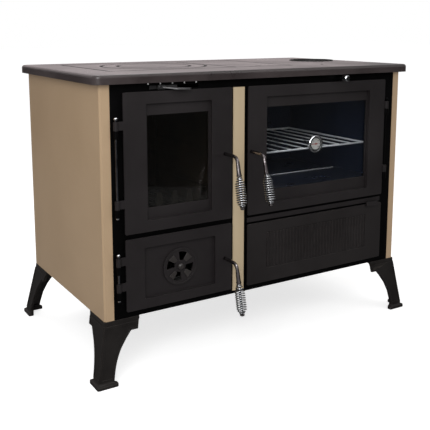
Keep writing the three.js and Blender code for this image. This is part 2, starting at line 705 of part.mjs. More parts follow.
// Round bar along a row of points, closed at both ends
function sweptBar(points, radius, sides) {
  return solidOf(tubeGeometry(points, radius, sides));
}
function tubeGeometry(points, radius, sides) {
  const places = [];
  const corners = [];
  const tangents = points.map((point, i) => {
    const before = points[Math.max(i - 1, 0)];
    const after = points[Math.min(i + 1, points.length - 1)];
    return new THREE.Vector3().subVectors(after, before).normalize();
  });
  let normal = new THREE.Vector3(1, 0, 0);
  normal.addScaledVector(tangents[0], -normal.dot(tangents[0])).normalize();
  points.forEach((point, i) => {
    normal.addScaledVector(tangents[i], -normal.dot(tangents[i])).normalize();
    const side = new THREE.Vector3().crossVectors(tangents[i], normal);
    for (let k = 0; k < sides; k += 1) {
      const angle = (2 * Math.PI * k) / sides;
      const place = point.clone()
        .addScaledVector(normal, radius * Math.cos(angle))
        .addScaledVector(side, radius * Math.sin(angle));
      places.push(place.x, place.y, place.z);
    }
  });
  for (let i = 0; i < points.length - 1; i += 1) {
    for (let k = 0; k < sides; k += 1) {
      const a = i * sides + k;
      const b = i * sides + (k + 1) % sides;
      corners.push(a, b, a + sides, b, b + sides, a + sides);
    }
  }
  const last = (points.length - 1) * sides;
  for (let k = 1; k < sides - 1; k += 1) {
    corners.push(0, k + 1, k, last, last + k, last + k + 1);
  }
  const geometry = new THREE.BufferGeometry();
  geometry.setAttribute("position", new THREE.Float32BufferAttribute(places, 3));
  geometry.setIndex(corners);
  return geometry;
}

// Coil-spring grip: one wire wound as a barrel, its ends straight along the grip
function springRoute() {
  const across = new THREE.Vector3(1, 0, 0);
  const up = new THREE.Vector3().crossVectors(gripDirection, across);
  const start = handle.neck + handle.collarHeight + gap;
  const straight = spring.wire * 2;
  const steps = spring.curls * facetCounts.curl;
  const points = [];
  const add = (along, angle, radius) => points.push(
    bendEnd.clone().addScaledVector(gripDirection, start + along)
      .addScaledVector(across, radius * Math.cos(angle))
      .addScaledVector(up, radius * Math.sin(angle)),
  );
  add(0, 0, spring.endRadius);
  for (let i = 0; i <= steps; i += 1) {
    const part = i / steps;
    const swell = THREE.MathUtils.smoothstep(part, 0, spring.upperShare)
      * THREE.MathUtils.smoothstep(1 - part, 0, spring.lowerShare);
    add(
      straight + part * (spring.gripLong - 2 * straight), (2 * Math.PI * i) / facetCounts.curl,
      spring.endRadius + (spring.waistRadius - spring.endRadius) * swell,
    );
  }
  add(spring.gripLong, 0, spring.endRadius);
  return points;
}
function springGrip(name, at) {
  const mesh = piece(name, sweptBar(springRoute(), spring.wire, facetCounts.wire), chrome);
  mesh.position.set(at.x, plateY[0], at.z);
  mesh.rotation.y = at.turn;
  return mesh;
}

// Least free space between the spring's own curls, measured on its route
function springClearance() {
  const points = springRoute();
  let least = Infinity;
  for (let i = 0; i < points.length; i += 1) {
    for (let k = i + Math.ceil(facetCounts.curl * spring.nearShare); k < points.length; k += 1) {
      least = Math.min(least, points[i].distanceTo(points[k]) - 2 * spring.wire);
    }
  }
  return least;
}
console.log(`spring grip: least gap between its curls ${springClearance().toFixed(2)} mm`);

// Fan-shaped opening between two radii, about a centre
function fan(centre, inner, outer, from, to) {
  const outline = new THREE.Shape();
  outline.moveTo(centre.x + inner * Math.cos(from), centre.z + inner * Math.sin(from));
  outline.lineTo(centre.x + outer * Math.cos(from), centre.z + outer * Math.sin(from));
  outline.absarc(centre.x, centre.z, outer, from, to);
  outline.lineTo(centre.x + inner * Math.cos(to), centre.z + inner * Math.sin(to));
  outline.absarc(centre.x, centre.z, inner, to, from, true);
  return outline;
}
const ashRecessX = grow(leftColumn, -ash.recessSide);
const ashRecessZ = [ashRow[0] + ash.recessBottom, ashRow[1] - ash.recessTop];
const rosetteAt = { x: middleOf(ashRecessX), z: middleOf(ashRecessZ) };
const ashFloor = [panBack - doorPlate.panWall, panBack];

function cutFans(solid, y) {
  const pitch = 360 / rosette.openings;
  let cut = solid;
  for (let i = 0; i < rosette.openings; i += 1) {
    const middle = rosette.turn + i * pitch;
    const half = (pitch * rosette.openShare) / 2;
    const outline = fan(
      rosetteAt, rosette.inner, rosette.outer, (middle - half) * degree, (middle + half) * degree,
    );
    cut = cut.subtract(frontSheet(outline, grow(y, overrun)));
  }
  return cut;
}

function ashDoor(set) {
  let door = withRecess(hingedPlate(leftColumn, set), ashRecessX, ashRecessZ);
  door = cutFans(door, ashFloor);
  door = door.subtract(handleBore(ashHandle.x, ashHandle.z));
  door = door.subtract(bar(
    "y", rosette.bore, ashFloor[0] - overrun, ashFloor[1] + overrun, [rosetteAt.x, rosetteAt.z],
    facetCounts.bar,
  ));
  return piece("ash_door", door, doorIron);
}

// Round disc that turns over the door's openings, with a raised rim
function airRosette() {
  const back = ashFloor[0] - gap;
  const face = back - rosette.sheet;
  const rimFace = face - rosette.rimProud;
  const profile = [
    [rosette.bore, back], [rosette.bore, face], [rosette.radius - rosette.rim, face],
    [rosette.radius - rosette.rim, rimFace], [rosette.radius, rimFace], [rosette.radius, back],
    [rosette.bore, back],
  ];
  const disc = turnedAlongY(profile, rosetteAt.x, rosetteAt.z, facetCounts.fine);
  return piece("air_rosette", cutFans(disc, [face, back]), doorIron);
}

// Screw that the rosette turns on, with its domed head and a nut behind the door
function rosetteScrew() {
  const face = ashFloor[0] - gap - rosette.sheet;
  const under = face - gap;
  const head = under - rosette.hubProud;
  const nutFront = ashFloor[1] + gap;
  const profile = [
    [0, head], [rosette.hub * rosette.hubTopShare, head],
    [rosette.hub, head + rosette.hubProud * rosette.hubEdgeShare],
    [rosette.hub, under], [rosette.shank, under], [rosette.shank, nutFront],
    [rosette.nut, nutFront], [rosette.nut, nutFront + rosette.nutHeight],
    [0, nutFront + rosette.nutHeight],
  ];
  return piece("rosette_screw", turnedAlongY(profile, rosetteAt.x, rosetteAt.z), rawSteel);
}

// Thermometer case: bezel and dial in front of the glass, nut and stem behind
const gaugeY = { back: panBack, front: panBack - gauge.proud };
function gaugeCase() {
  const paneBack = panBack + gap + glazing.pane + gap;
  const dial = gaugeY.front + gauge.dialDepth;
  const profile = [
    [0, dial - gauge.pinLong], [gauge.pin, dial - gauge.pinLong], [gauge.pin, dial],
    [gauge.radius - gauge.bezel, dial], [gauge.radius - gauge.bezel, gaugeY.front],
    [gauge.radius - gauge.bezel / 2, gaugeY.front], [gauge.radius, gaugeY.front + gauge.bezel / 2],
    [gauge.radius, gaugeY.back], [gauge.neck, gaugeY.back], [gauge.neck, paneBack],
    [gauge.nut, paneBack], [gauge.nut, paneBack + gauge.nutHeight],
    [gauge.stem, paneBack + gauge.nutHeight], [gauge.stem, paneBack + gauge.stemLong],
    [0, paneBack + gauge.stemLong],
  ];
  return piece("thermometer_case", turnedAlongY(profile, gaugeAt.x, gaugeAt.z), chrome);
}

function gaugeNeedle() {
  const dial = gaugeY.front + gauge.dialDepth;
  const y = [dial - gap - gauge.needleSheet, dial - gap];
  const outline = polygon([
    [gaugeAt.x - gauge.needleLong, gaugeAt.z - gauge.needlePoint],
    [gaugeAt.x + gauge.needleTail, gaugeAt.z - gauge.needleHalf],
    [gaugeAt.x + gauge.needleTail, gaugeAt.z + gauge.needleHalf],
    [gaugeAt.x - gauge.needleLong, gaugeAt.z + gauge.needlePoint],
  ]);
  const needle = frontSheet(outline, y)
    .add(bar("y", gauge.needleHub, y[0], y[1], [gaugeAt.x, gaugeAt.z]))
    .subtract(bar(
      "y", gauge.pin + running, y[0] - overrun, y[1] + overrun, [gaugeAt.x, gaugeAt.z],
    ));
  return piece("thermometer_pointer", needle, needleRed);
}

// Drawer front with its reeded panel
function drawerFront() {
  let front = frontSheet(roundRectangle(rightColumn, drawerRow, doorPlate.cornerRadius), plateY);
  const x = grow(rightColumn, -drawer.reliefSide);
  const z = [drawerRow[0] + drawer.reliefBottom, drawerRow[1] - drawer.reliefTop];
  const floor = plateY[0] + drawer.reliefDepth;
  front = front.subtract(block(x, [plateY[0] - overrun, floor], z));
  const pitch = (x[1] - x[0]) / drawer.ribs;
  const half = (pitch * drawer.ribShare) / 2;
  for (const middle of evenly(x, drawer.ribs)) {
    const outline = polygon([
      [middle - half, middleOf(plateY) + drawer.reliefDepth / 2],
      [middle - half * drawer.ribTopShare, plateY[0]],
      [middle + half * drawer.ribTopShare, plateY[0]],
      [middle + half, middleOf(plateY) + drawer.reliefDepth / 2],
    ]);
    front = front.add(flatSheet(outline, grow(z, -half)));
  }
  return piece("drawer_front", front, doorIron);
}

// Open-topped sheet box
function openBox(x, y, z, wall) {
  return block(x, y, z).subtract(
    block(grow(x, -wall), grow(y, -wall), [z[0] + wall, z[1] + overrun]),
  );
}
const drawerBoxX = grow(drawerFrame.x, -drawer.boxClear);
const drawerFloor = baseTop + gap + drawer.runnerHigh + gap;
function drawerBox() {
  const y = [plateY[1] + gap, casing.depth - drawer.behind];
  const z = [drawerFloor, drawerFrame.z[1] - drawer.boxTop];
  return piece("drawer_box", openBox(drawerBoxX, y, z, drawer.sheet), rawSteel);
}

// Small cleat on the drawer front that a finger pulls on
function drawerPull() {
  const right = rightColumn[1] - drawer.pullFromRight;
  const x = [right - drawer.pullWidth, right];
  const top = drawerRow[1] + drawer.pullAbove;
  const outline = roundRectangle(x, [top - drawer.pullHigh, top], drawer.pullCorner);
  const y = [plateY[0] - gap - drawer.pullDeep, plateY[0] - gap];
  return piece("drawer_pull", frontSheet(outline, y), doorIron);
}

// Inverted channel under each side of the drawer box, standing on the base plate
function drawerRunner(name, x) {
  const y = [behindFrame, backPanelY[0] - gap - drawer.runnerEnd];
  const z = [baseTop + gap, baseTop + gap + drawer.runnerHigh];
  const runner = block(x, y, z).subtract(
    block(grow(x, -drawer.runnerSheet), grow(y, overrun), [z[0] - overrun, z[1] - drawer.runnerSheet]),
  );
  return piece(name, runner, rawSteel);
}

// Hob: slab with a rounded top edge and a deep rim, two stepped openings and the flue hole
const plateBays = [
  [hob.platesLeft, hob.plateSplit], [hob.plateSplit, hob.platesRight],
];
const platesY = [hob.platesFront, casing.depth - hob.platesFromBack];
const hobSkin = [hobTop - hob.skin, hobTop];
const ringAt = { x: hob.plateSplit - rings.fromSplit, y: middleOf(platesY) };
const ringRadius = (platesY[1] - ringAt.y) * rings.outerShare;
const lidRadius = (platesY[1] - ringAt.y) * rings.innerShare;

// The opening that a plate's lower half fits into, inside the ledges and beside the cross bar
function bayInside(bay, clearance) {
  const [fromLeft, fromRight] = bay.map(
    (edge) => (edge === hob.plateSplit ? hob.crossBar / 2 : hob.ledge) + clearance,
  );
  return [bay[0] + fromLeft, bay[1] - fromRight];
}
function hobPlate() {
  const outerX = grow([0, casingWidth], hob.overhang);
  const outerY = grow([0, casing.depth], hob.overhang);
  const geometry = new THREE.ExtrudeGeometry(
    roundRectangle(outerX, outerY, hob.corner), {
      depth: (hob.thickness - hob.edge) * 2, bevelEnabled: true, bevelThickness: hob.edge,
      bevelSize: hob.edge, bevelOffset: -hob.edge, bevelSegments: facetCounts.edge,
      curveSegments: facetCounts.bend,
    },
  );
  geometry.translate(0, 0, casingHeight - hob.thickness + hob.edge);
  let plate = solidOf(geometry);
  plate = plate.subtract(block(
    grow(outerX, overrun), grow(outerY, overrun),
    [casingHeight - hob.thickness - overrun, casingHeight],
  ));
  plate = plate.subtract(block(
    grow(outerX, -hob.rim), grow(outerY, -hob.rim), [casingHeight - overrun, hobSkin[0]],
  ));
  plate = plate.subtract(flatSheet(
    roundRectangle([hob.platesLeft, hob.platesRight], platesY, hob.plateCorner),
    [middleOf(hobSkin), hobTop + overrun],
  ));
  for (const bay of plateBays) {
    plate = plate.subtract(
      block(bayInside(bay, 0), grow(platesY, -hob.ledge), grow(hobSkin, overrun)),
    );
  }
  plate = plate.subtract(bar(
    "z", flue.bore + flue.wall + gap, hobSkin[0] - overrun, hobTop + overrun,
    [flueAt.x, flueAt.y], facetCounts.fine,
  ));
  return piece("hob_plate", plate, hobIron);
}

// Lift-off plate whose upper half has eased edges and rests on the hob's ledge
function liftPlate(bay) {
  const shoulder = middleOf(hobSkin) + gap;
  const geometry = new THREE.ExtrudeGeometry(
    roundRectangle(grow(bay, -gap), grow(platesY, -gap), hob.plateCorner), {
      depth: hobTop - shoulder - hob.plateEdge * 2, bevelEnabled: true,
      bevelThickness: hob.plateEdge, bevelSize: hob.plateEdge, bevelOffset: -hob.plateEdge,
      bevelSegments: 1, curveSegments: facetCounts.corner,
    },
  );
  geometry.translate(0, 0, shoulder + hob.plateEdge);
  const upper = solidOf(geometry);
  const lower = block(
    bayInside(bay, gap), grow(platesY, -hob.ledge - gap), [hobSkin[0], shoulder + gap],
  );
  return upper.add(lower);
}

// Stepped round hole with an eased rim, and the round piece that drops into it
function ringHole(radius) {
  const inner = radius - rings.step;
  return turnedAlongZ([
    [0, hobSkin[0] - overrun], [inner, hobSkin[0] - overrun], [inner, middleOf(hobSkin)],
    [radius, middleOf(hobSkin)], [radius, hobTop - hob.plateEdge],
    [radius + hob.plateEdge + overrun, hobTop + overrun], [0, hobTop + overrun],
  ], ringAt.x, ringAt.y);
}
function roundLift(radius) {
  const shoulder = middleOf(hobSkin) + gap;
  const neck = radius - rings.step - gap;
  const rim = radius - gap;
  return turnedAlongZ([
    [0, hobSkin[0]], [neck, hobSkin[0]], [neck, shoulder], [rim, shoulder],
    [rim, hobTop - hob.plateEdge], [rim - hob.plateEdge, hobTop], [0, hobTop],
  ], ringAt.x, ringAt.y);
}
function lifterSlot(x, y) {
  return block(
    grow([x, x], rings.slotLong / 2), grow([y, y], rings.slotWide / 2), grow(hobSkin, overrun),
  );
}
function cookingPlates() {
  const left = liftPlate(plateBays[0]).subtract(ringHole(ringRadius));
  const right = liftPlate(plateBays[1])
    .subtract(lifterSlot(middleOf(plateBays[1]), platesY[0] + hob.slotFromEdge));
  const ring = roundLift(ringRadius).subtract(ringHole(lidRadius));
  const lid = roundLift(lidRadius)
    .subtract(lifterSlot(ringAt.x, ringAt.y - lidRadius / 2));
  return [
    piece("cooking_plate_left", left, hobIron), piece("cooking_plate_right", right, hobIron),
    piece("hob_ring", ring, hobIron), piece("hob_lid", lid, hobIron),
  ];
}

// Flue collar: short tube with a flange under the hob's skin
function flueCollar() {
  const top = hobTop + flue.proud;
  const under = hobTop - hob.skin - gap;
  const outer = flue.bore + flue.wall;
  const profile = [
    [flue.bore, hobTop - flue.drop], [outer, hobTop - flue.drop],
    [outer, under - flue.flangeSheet], [outer + flue.flange, under - flue.flangeSheet],
    [outer + flue.flange, under], [outer, under], [outer, top], [flue.bore, top],
    [flue.bore, hobTop - flue.drop],
  ];
  return piece("flue_collar", turnedAlongZ(profile, flueAt.x, flueAt.y), castIron);
}

// Welded box around the firebox and the ash space, with the grate shelf
const grateX = grow(shellX, -grate.side);
const grateY = [grate.front, shellBack - grate.fromBack];
function fireboxShell() {
  const x = shellX;
  const y = [behindFrame, shellBack];
  const z = [baseTop + gap, shellTop];
  const innerX = grow(x, -shell.sheet);
  const innerY = [y[0] - overrun, y[1] - shell.sheet];
  let solid = block(x, y, z).subtract(block(innerX, innerY, [z[0] + shell.sheet, z[1] + overrun]));
  const shelfZ = [shelfTop - shell.shelfSheet, shelfTop];
  const shelfPlate = block(grow(innerX, shell.sheet / 2), [y[0], innerY[1] + shell.sheet / 2], shelfZ)
    .subtract(block(
      grow(grateX, -grate.holeInset), grow(grateY, -grate.holeInset), grow(shelfZ, overrun),
    ));
  solid = solid.add(shelfPlate);
  solid = solid.subtract(block(
    [innerX[1] - overrun, x[1] + overrun], [shell.throatFront, shellBack - shell.throatFromBack],
    [shellTop - shell.throatHigh, shellTop + overrun],
  ));
  return piece("firebox_shell", solid, blackSteel);
}

// Fire-clay lining on the shelf, against the shell's walls
function fireLining() {
  const z = [shelfTop + gap, shellTop - lining.belowTop];
  const inner = grow(shellX, -shell.sheet - gap);
  const back = shellBack - shell.sheet - gap;
  const sideY = [behindFrame + shell.sheet, back - lining.thickness - gap];
  return [
    piece("firebox_lining_left", block([inner[0], inner[0] + lining.thickness], sideY, z), brick),
    piece("firebox_lining_right", block([inner[1] - lining.thickness, inner[1]], sideY, z), brick),
    piece("firebox_lining_back", block(inner, [back - lining.thickness, back], z), brick),
  ];
}

// Cast grate with slots between its bars, on the shelf
function fireGrate() {
  const z = [shelfTop + gap, shelfTop + gap + grate.thickness];
  let solid = block(grateX, grateY, z);
  const slotsX = grow(grateX, -grate.border);
  const pitch = (slotsX[1] - slotsX[0]) / grate.slots;
  const half = (pitch * (1 - grate.barShare)) / 2;
  for (const middle of evenly(slotsX, grate.slots)) {
    solid = solid.subtract(
      block([middle - half, middle + half], grow(grateY, -grate.border), grow(z, overrun)),
    );
  }
  return piece("fire_grate", solid, castIron);
}

// Toothed plate that keeps the logs off the glass
function logRetainer() {
  const x = grow(shellX, -shell.sheet - gap - lining.thickness - gap);
  const y = [retainer.front, retainer.front + retainer.thickness];
  const foot = shelfTop + gap;
  const barTop = shelfTop + retainer.barHigh;
  const toothTop = shelfTop + retainer.toothHigh;
  let solid = block(x, y, [foot, barTop]);
  for (const middle of evenly(x, retainer.teeth)) {
    const tooth = polygon([
      [middle - retainer.base / 2, foot], [middle + retainer.base / 2, foot],
      [middle + retainer.base / 2, barTop], [middle + retainer.point / 2, toothTop],
      [middle - retainer.point / 2, toothTop], [middle - retainer.base / 2, barTop],
    ]);
    solid = solid.add(frontSheet(tooth, y));
  }
  return piece("log_retainer", solid, castIron);
}

// Ash pan on the floor of the shell, with a turned-out lip to pull it by
function ashPanPiece() {
  const x = grow(ashFrame.x, -ashPan.side);
  const floor = baseTop + gap + shell.sheet + gap;
  const y = [ashPan.front, shellBack - ashPan.behind];
  const z = [floor, floor + ashPan.height];
  const pan = openBox(x, y, z, ashPan.sheet).add(block(
    grow(x, -ashPan.lipInset), [y[0] - ashPan.lip, y[0] + ashPan.sheet / 2],
    [z[1] - ashPan.sheet, z[1]],
  ));
  return piece("ash_pan", pan, rawSteel);
}

// Oven mouth: flange and shallow sleeve behind the front frame, then a narrower square tube
const mouthX = grow(ovenFrame.x, -mouth.inset);
const mouthZ = [ovenFrame.z[0] + mouth.sill, ovenFrame.z[1] - mouth.inset];
function ovenMouth() {
  const stepY = [behindFrame + mouth.step, behindFrame + mouth.step + mouth.flange];
  const rearY = [mouth.depth - mouth.flange, mouth.depth];
  const sleeve = block(
    grow(ovenFrame.x, mouth.wall), [behindFrame, stepY[1]], grow(ovenFrame.z, mouth.wall),
  )
    .add(block(
      grow(ovenFrame.x, mouth.flangeLap), [behindFrame, behindFrame + mouth.flange],
      grow(ovenFrame.z, mouth.flangeLap),
    ))
    .subtract(block(ovenFrame.x, [behindFrame - overrun, stepY[0]], ovenFrame.z));
  const solid = sleeve
    .add(block(mouthX, [stepY[0], mouth.depth], mouthZ))
    .add(block(grow(mouthX, mouth.rearFlange), rearY, grow(mouthZ, mouth.rearFlange)))
    .subtract(block(
      grow(mouthX, -mouth.wall), [stepY[0] - overrun, mouth.depth + overrun],
      grow(mouthZ, -mouth.wall),
    ));
  return piece("oven_mouth", solid, enamel);
}

// Oven box behind the mouth, with a ledge for the rack on each side
const boxX = grow(mouthX, mouth.rearFlange);
const boxZ = grow(mouthZ, mouth.rearFlange);
const boxY = [mouth.depth + gap, casing.depth - ovenBox.behind];
const rackZ = boxZ[0] + ovenBox.wall + ovenBox.rackHeight;
function ovenBoxPiece() {
  const inX = grow(boxX, -ovenBox.wall);
  let solid = block(boxX, boxY, boxZ).subtract(
    block(inX, [boxY[0] - overrun, boxY[1] - ovenBox.wall], grow(boxZ, -ovenBox.wall)),
  );
  const ledgeZ = [rackZ - ovenBox.ledgeHigh, rackZ];
  const depth = [boxY[0], boxY[1] - ovenBox.wall / 2];
  solid = solid.add(block([boxX[0] + ovenBox.wall / 2, inX[0] + ovenBox.ledgeWide], depth, ledgeZ));
  solid = solid.add(block([inX[1] - ovenBox.ledgeWide, boxX[1] - ovenBox.wall / 2], depth, ledgeZ));
  return piece("oven_box", solid, enamel);
}

// Wire rack on the ledges: round frame bars and cross wires that run back
function ovenRack() {
  const x = grow(boxX, -rack.side - rack.frame);
  const y = [rack.front + rack.frame, boxY[1] - rack.back];
  const z = rackZ + gap + rack.frame;
  let solid = bar("x", rack.frame, x[0] - rack.frame, x[1] + rack.frame, [y[0], z])
    .add(bar("x", rack.frame, x[0] - rack.frame, x[1] + rack.frame, [y[1], z]))
    .add(bar("y", rack.frame, y[0], y[1], [x[0], z]))
    .add(bar("y", rack.frame, y[0], y[1], [x[1], z]));
  const pitch = (x[1] - x[0]) / rack.gaps;
  for (let i = 1; i < rack.gaps; i += 1) {
    solid = solid.add(bar("y", rack.wire, y[0], y[1], [x[0] + i * pitch, z], facetCounts.curl));
  }
  return piece("oven_rack", solid, chrome);
}

// Smoke shelf over the oven, and the damper plate that slides over its hole
function smokeShelf() {
  const y = [shelf.front, backPanelY[0] - gap];
  const solid = block(smokeX, y, smokeZ).subtract(block(
    smokeHoleX, [shelf.holeFront, shelf.holeFront + shelf.holeDepth], grow(smokeZ, overrun),
  ));
  return piece("smoke_shelf", solid, blackSteel);
}
const damperY = grow([shelf.holeFront, shelf.holeFront + shelf.holeDepth], damper.lap);
function damperPlate() {
  const x = grow(smokeHoleX, damper.lap);
  const bottom = smokeZ[1] + gap;
  const plate = block(x, damperY, [bottom, bottom + damper.plate]);
  const tab = block(
    grow([knobAt.x, knobAt.x], damper.tabWide / 2), [damperY[0], damperY[0] + damper.tab],
    [bottom, knobAt.z + damper.rod],
  );
  return piece("damper_plate", plate.add(tab), rawSteel);
}

// Chrome pull knob on the long rod that moves the damper plate
function damperKnob() {
  const bossFace = frameY[0] - damper.bossProud;
  const neckFace = bossFace - gap - damper.neckLong;
  const face = neckFace - damper.knobLong;
  const profile = [
    [0, face], [damper.knob - damper.knobRound, face], [damper.knob, face + damper.knobRound],
    [damper.knob, neckFace - damper.knobRound], [damper.knob - damper.knobRound, neckFace],
    [damper.rod, neckFace], [damper.rod, damperY[0] - gap], [0, damperY[0] - gap],
  ];
  return piece("damper_knob", turnedAlongY(profile, knobAt.x, knobAt.z), chrome);
}

// Flat air lever: slider behind the frame, stem through its slot, blade in front
function airLever() {
  const z = grow([leverAt.z, leverAt.z], lever.high / 2);
  const front = frameY[0] - gap;
  const outline = polygon([
    [leverAt.x - lever.stem, behindFrame + lever.slider / 2],
    [leverAt.x - lever.stem, front - lever.tabSheet],
    [leverAt.x + lever.bellyX - lever.bellyHalf, front - lever.bellyOut - lever.bellyHalf],
    [leverAt.x + lever.tipX - lever.tipHalf, front - lever.tipOut],
    [leverAt.x + lever.tipX, front - lever.tipOut + lever.tipHalf],
    [leverAt.x + lever.bellyX + lever.bellyHalf, front - lever.bellyOut + lever.bellyHalf],
    [leverAt.x + lever.stem, front - lever.rootOut],
    [leverAt.x + lever.stem, behindFrame + lever.slider / 2],
  ]);
  const tabX = [leverAt.x - lever.tabWide / 2 - lever.boltLeft, leverAt.x + lever.stem];
  const boltX = leverAt.x - lever.boltLeft - lever.stem;
  const blade = reshaped(flatSheet(outline, z), (x, y, height) => [
    x, y, height - (x > leverAt.x + lever.crankFrom ? lever.cranked : 0),
  ]);
  const solid = blade
    .add(block(tabX, [front - lever.tabSheet, front], grow([leverAt.z, leverAt.z], lever.tabHigh / 2)))
    .add(bar(
      "y", lever.bolt, front - lever.tabSheet - lever.boltHigh, front - lever.tabSheet / 2,
      [boltX, leverAt.z],
    ))
    .add(block(
      grow([leverAt.x, leverAt.x], lever.sliderHalf), [behindFrame, behindFrame + lever.slider],
      grow([leverAt.z, leverAt.z], lever.sliderHigh / 2),
    ));
  return piece("air_lever", solid, rawSteel);
}

// The stove put together; every piece is made in casing coordinates
const [fireHinge, ashHinge, ovenHinge] = hingeSets;
const runnerRightX = drawerBoxX[1] - drawer.runnerWidth;
const upperPieces = new THREE.Group();
upperPieces.add(
  hobPlate(), ...cookingPlates(), flueCollar(),
  sidePanel("left_side_panel", false), sidePanel("right_side_panel", true),
  backPanel(), basePlate(), frontFrame(), centerStrip(), sillStrip(),
  castLeg("leg_front_left", false, false), castLeg("leg_front_right", true, false),
  castLeg("leg_rear_left", false, true), castLeg("leg_rear_right", true, true),
  fireboxShell(), ...fireLining(), fireGrate(), logRetainer(), ashPanPiece(),
  ovenMouth(), ovenBoxPiece(), ovenRack(), smokeShelf(), damperPlate(), damperKnob(), airLever(),
  ...hingeSets.map(hingeRod),
  glazedDoor("firebox_door", leftColumn, fireHinge, fireWindow, fireHandle),
  pane("firebox_glass", fireWindow), glassFrame("firebox_glass_frame", fireWindow),
  doorSeal("firebox_door_seal", fireFrame),
  handleBar("firebox_handle", fireHandle, 1), springGrip("firebox_handle_spring", fireHandle),
  ashDoor(ashHinge), doorSeal("ash_door_seal", ashFrame),
  handleBar("ash_handle", ashHandle, 1), springGrip("ash_handle_spring", ashHandle),
  airRosette(), rosetteScrew(),
  glazedDoor("oven_door", rightColumn, ovenHinge, ovenWindow, ovenHandle),
  pane("oven_glass", ovenWindow, gaugeAt), glassFrame("oven_glass_frame", ovenWindow),
  doorSeal("oven_door_seal", ovenFrame),
  gaugeCase(), gaugeNeedle(),
  handleBar("oven_handle", ovenHandle, -1), springGrip("oven_handle_spring", ovenHandle),
  drawerFront(), drawerBox(), drawerPull(),
  drawerRunner("drawer_runner_left", [drawerBoxX[0], drawerBoxX[0] + drawer.runnerWidth]),
  drawerRunner("drawer_runner_right", [runnerRightX, runnerRightX + drawer.runnerWidth]),
);

// Origin: on the floor, at the middle of the whole stove's outline
upperPieces.updateMatrixWorld(true);
const reach = new THREE.Box3().setFromObject(upperPieces);
upperPieces.position.set(
  -(reach.min.x + reach.max.x) / 2, -(reach.min.y + reach.max.y) / 2, -reach.min.z,
);
const stove = new THREE.Group();
stove.add(upperPieces);

export default stove;
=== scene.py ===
import math

import bpy
from mathutils import Matrix, Vector


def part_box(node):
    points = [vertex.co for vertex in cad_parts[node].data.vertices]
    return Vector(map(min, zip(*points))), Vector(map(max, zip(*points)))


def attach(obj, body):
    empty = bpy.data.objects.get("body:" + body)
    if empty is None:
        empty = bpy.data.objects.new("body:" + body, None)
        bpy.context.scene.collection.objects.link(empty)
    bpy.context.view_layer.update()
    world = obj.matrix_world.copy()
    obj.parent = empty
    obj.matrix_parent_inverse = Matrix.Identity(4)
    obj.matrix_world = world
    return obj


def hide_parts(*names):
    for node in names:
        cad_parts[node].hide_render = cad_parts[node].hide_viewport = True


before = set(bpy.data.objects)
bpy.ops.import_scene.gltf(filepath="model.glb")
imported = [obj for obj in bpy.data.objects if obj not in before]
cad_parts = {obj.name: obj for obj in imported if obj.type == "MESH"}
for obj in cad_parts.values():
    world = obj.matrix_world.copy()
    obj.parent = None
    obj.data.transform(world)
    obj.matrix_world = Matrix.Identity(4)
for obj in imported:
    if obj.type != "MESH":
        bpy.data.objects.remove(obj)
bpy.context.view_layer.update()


# Camera: stands off the left front corner, a little higher than the hob, and looks slightly
# down. Its lens and place were fitted to the stove's corners.
camera_data = bpy.data.cameras.new("stove_camera")
camera = bpy.data.objects.new("stove_camera", camera_data)
bpy.context.scene.collection.objects.link(camera)
camera.location = (-1.249, -1.98085, 0.967)
camera.rotation_euler = (math.radians(90 - 9.13), 0, math.radians(-31.67))
camera_data.lens = 60.10
camera_data.sensor_width = 36
camera_data.shift_y = -0.168
camera_data.clip_start = 0.05
bpy.context.scene.camera = camera


# Studio: a plain pale floor that runs into a white backdrop, a large soft lamp at the left front,
# a weaker one at the right and one above the hob. Floor and sky look paler than they shine.
bpy.context.scene.view_settings.view_transform = "Standard"


def settle(node, **values):
    """Sets a shader node's inputs by name, with a dash for each blank."""
    for label, value in values.items():
        node.inputs[label.replace("_", " ")].default_value = value
    return node


def plain_paint(name, **values):
    """A paint with nothing but these values; its shader comes back with it."""
    paint = bpy.data.materials.new(name)
    paint.use_nodes = True
    return paint, settle(paint.node_tree.nodes["Principled BSDF"], **values)


bpy.ops.mesh.primitive_plane_add(size=60, location=(0, 0, 0))
floor = bpy.context.object
floor.name = "studio_floor"
floor_paint, floor_surface = plain_paint(
    "studio_floor_paint", Roughness=0.9, Emission_Color=(1, 1, 1, 1),
)
floor_nodes = floor_paint.node_tree
floor_seen = floor_nodes.nodes.new("ShaderNodeLightPath")
floor_glow = floor_nodes.nodes.new("ShaderNodeMath")
floor_glow.operation = "MULTIPLY"
floor_glow.inputs[1].default_value = 0.68
floor_nodes.links.new(floor_seen.outputs["Is Camera Ray"], floor_glow.inputs[0])
floor_nodes.links.new(floor_glow.outputs[0], floor_surface.inputs["Emission Strength"])
# Painted reflection: shiny surfaces see the floor nearly black, far darker than it is.
floor_tones = floor_nodes.nodes.new("ShaderNodeMix")
floor_tones.data_type = "RGBA"
settle(floor_tones, A=(0.78, 0.78, 0.78, 1), B=(0.16, 0.16, 0.16, 1))
floor_nodes.links.new(floor_seen.outputs["Is Glossy Ray"], floor_tones.inputs["Factor"])
floor_nodes.links.new(floor_tones.outputs["Result"], floor_surface.inputs["Base Color"])
floor.data.materials.append(floor_paint)
sky = bpy.data.worlds.new("studio_sky")
bpy.context.scene.world = sky
sky.use_nodes = True
sky_nodes = sky.node_tree
sky_seen = sky_nodes.nodes.new("ShaderNodeLightPath")
sky_glow = settle(sky_nodes.nodes.new("ShaderNodeMapRange"), To_Min=0.45)
sky_nodes.links.new(sky_seen.outputs["Is Camera Ray"], sky_glow.inputs["Value"])
backdrop = settle(sky_nodes.nodes["Background"], Color=(1, 1, 1, 1))
sky_nodes.links.new(sky_glow.outputs["Result"], backdrop.inputs["Strength"])


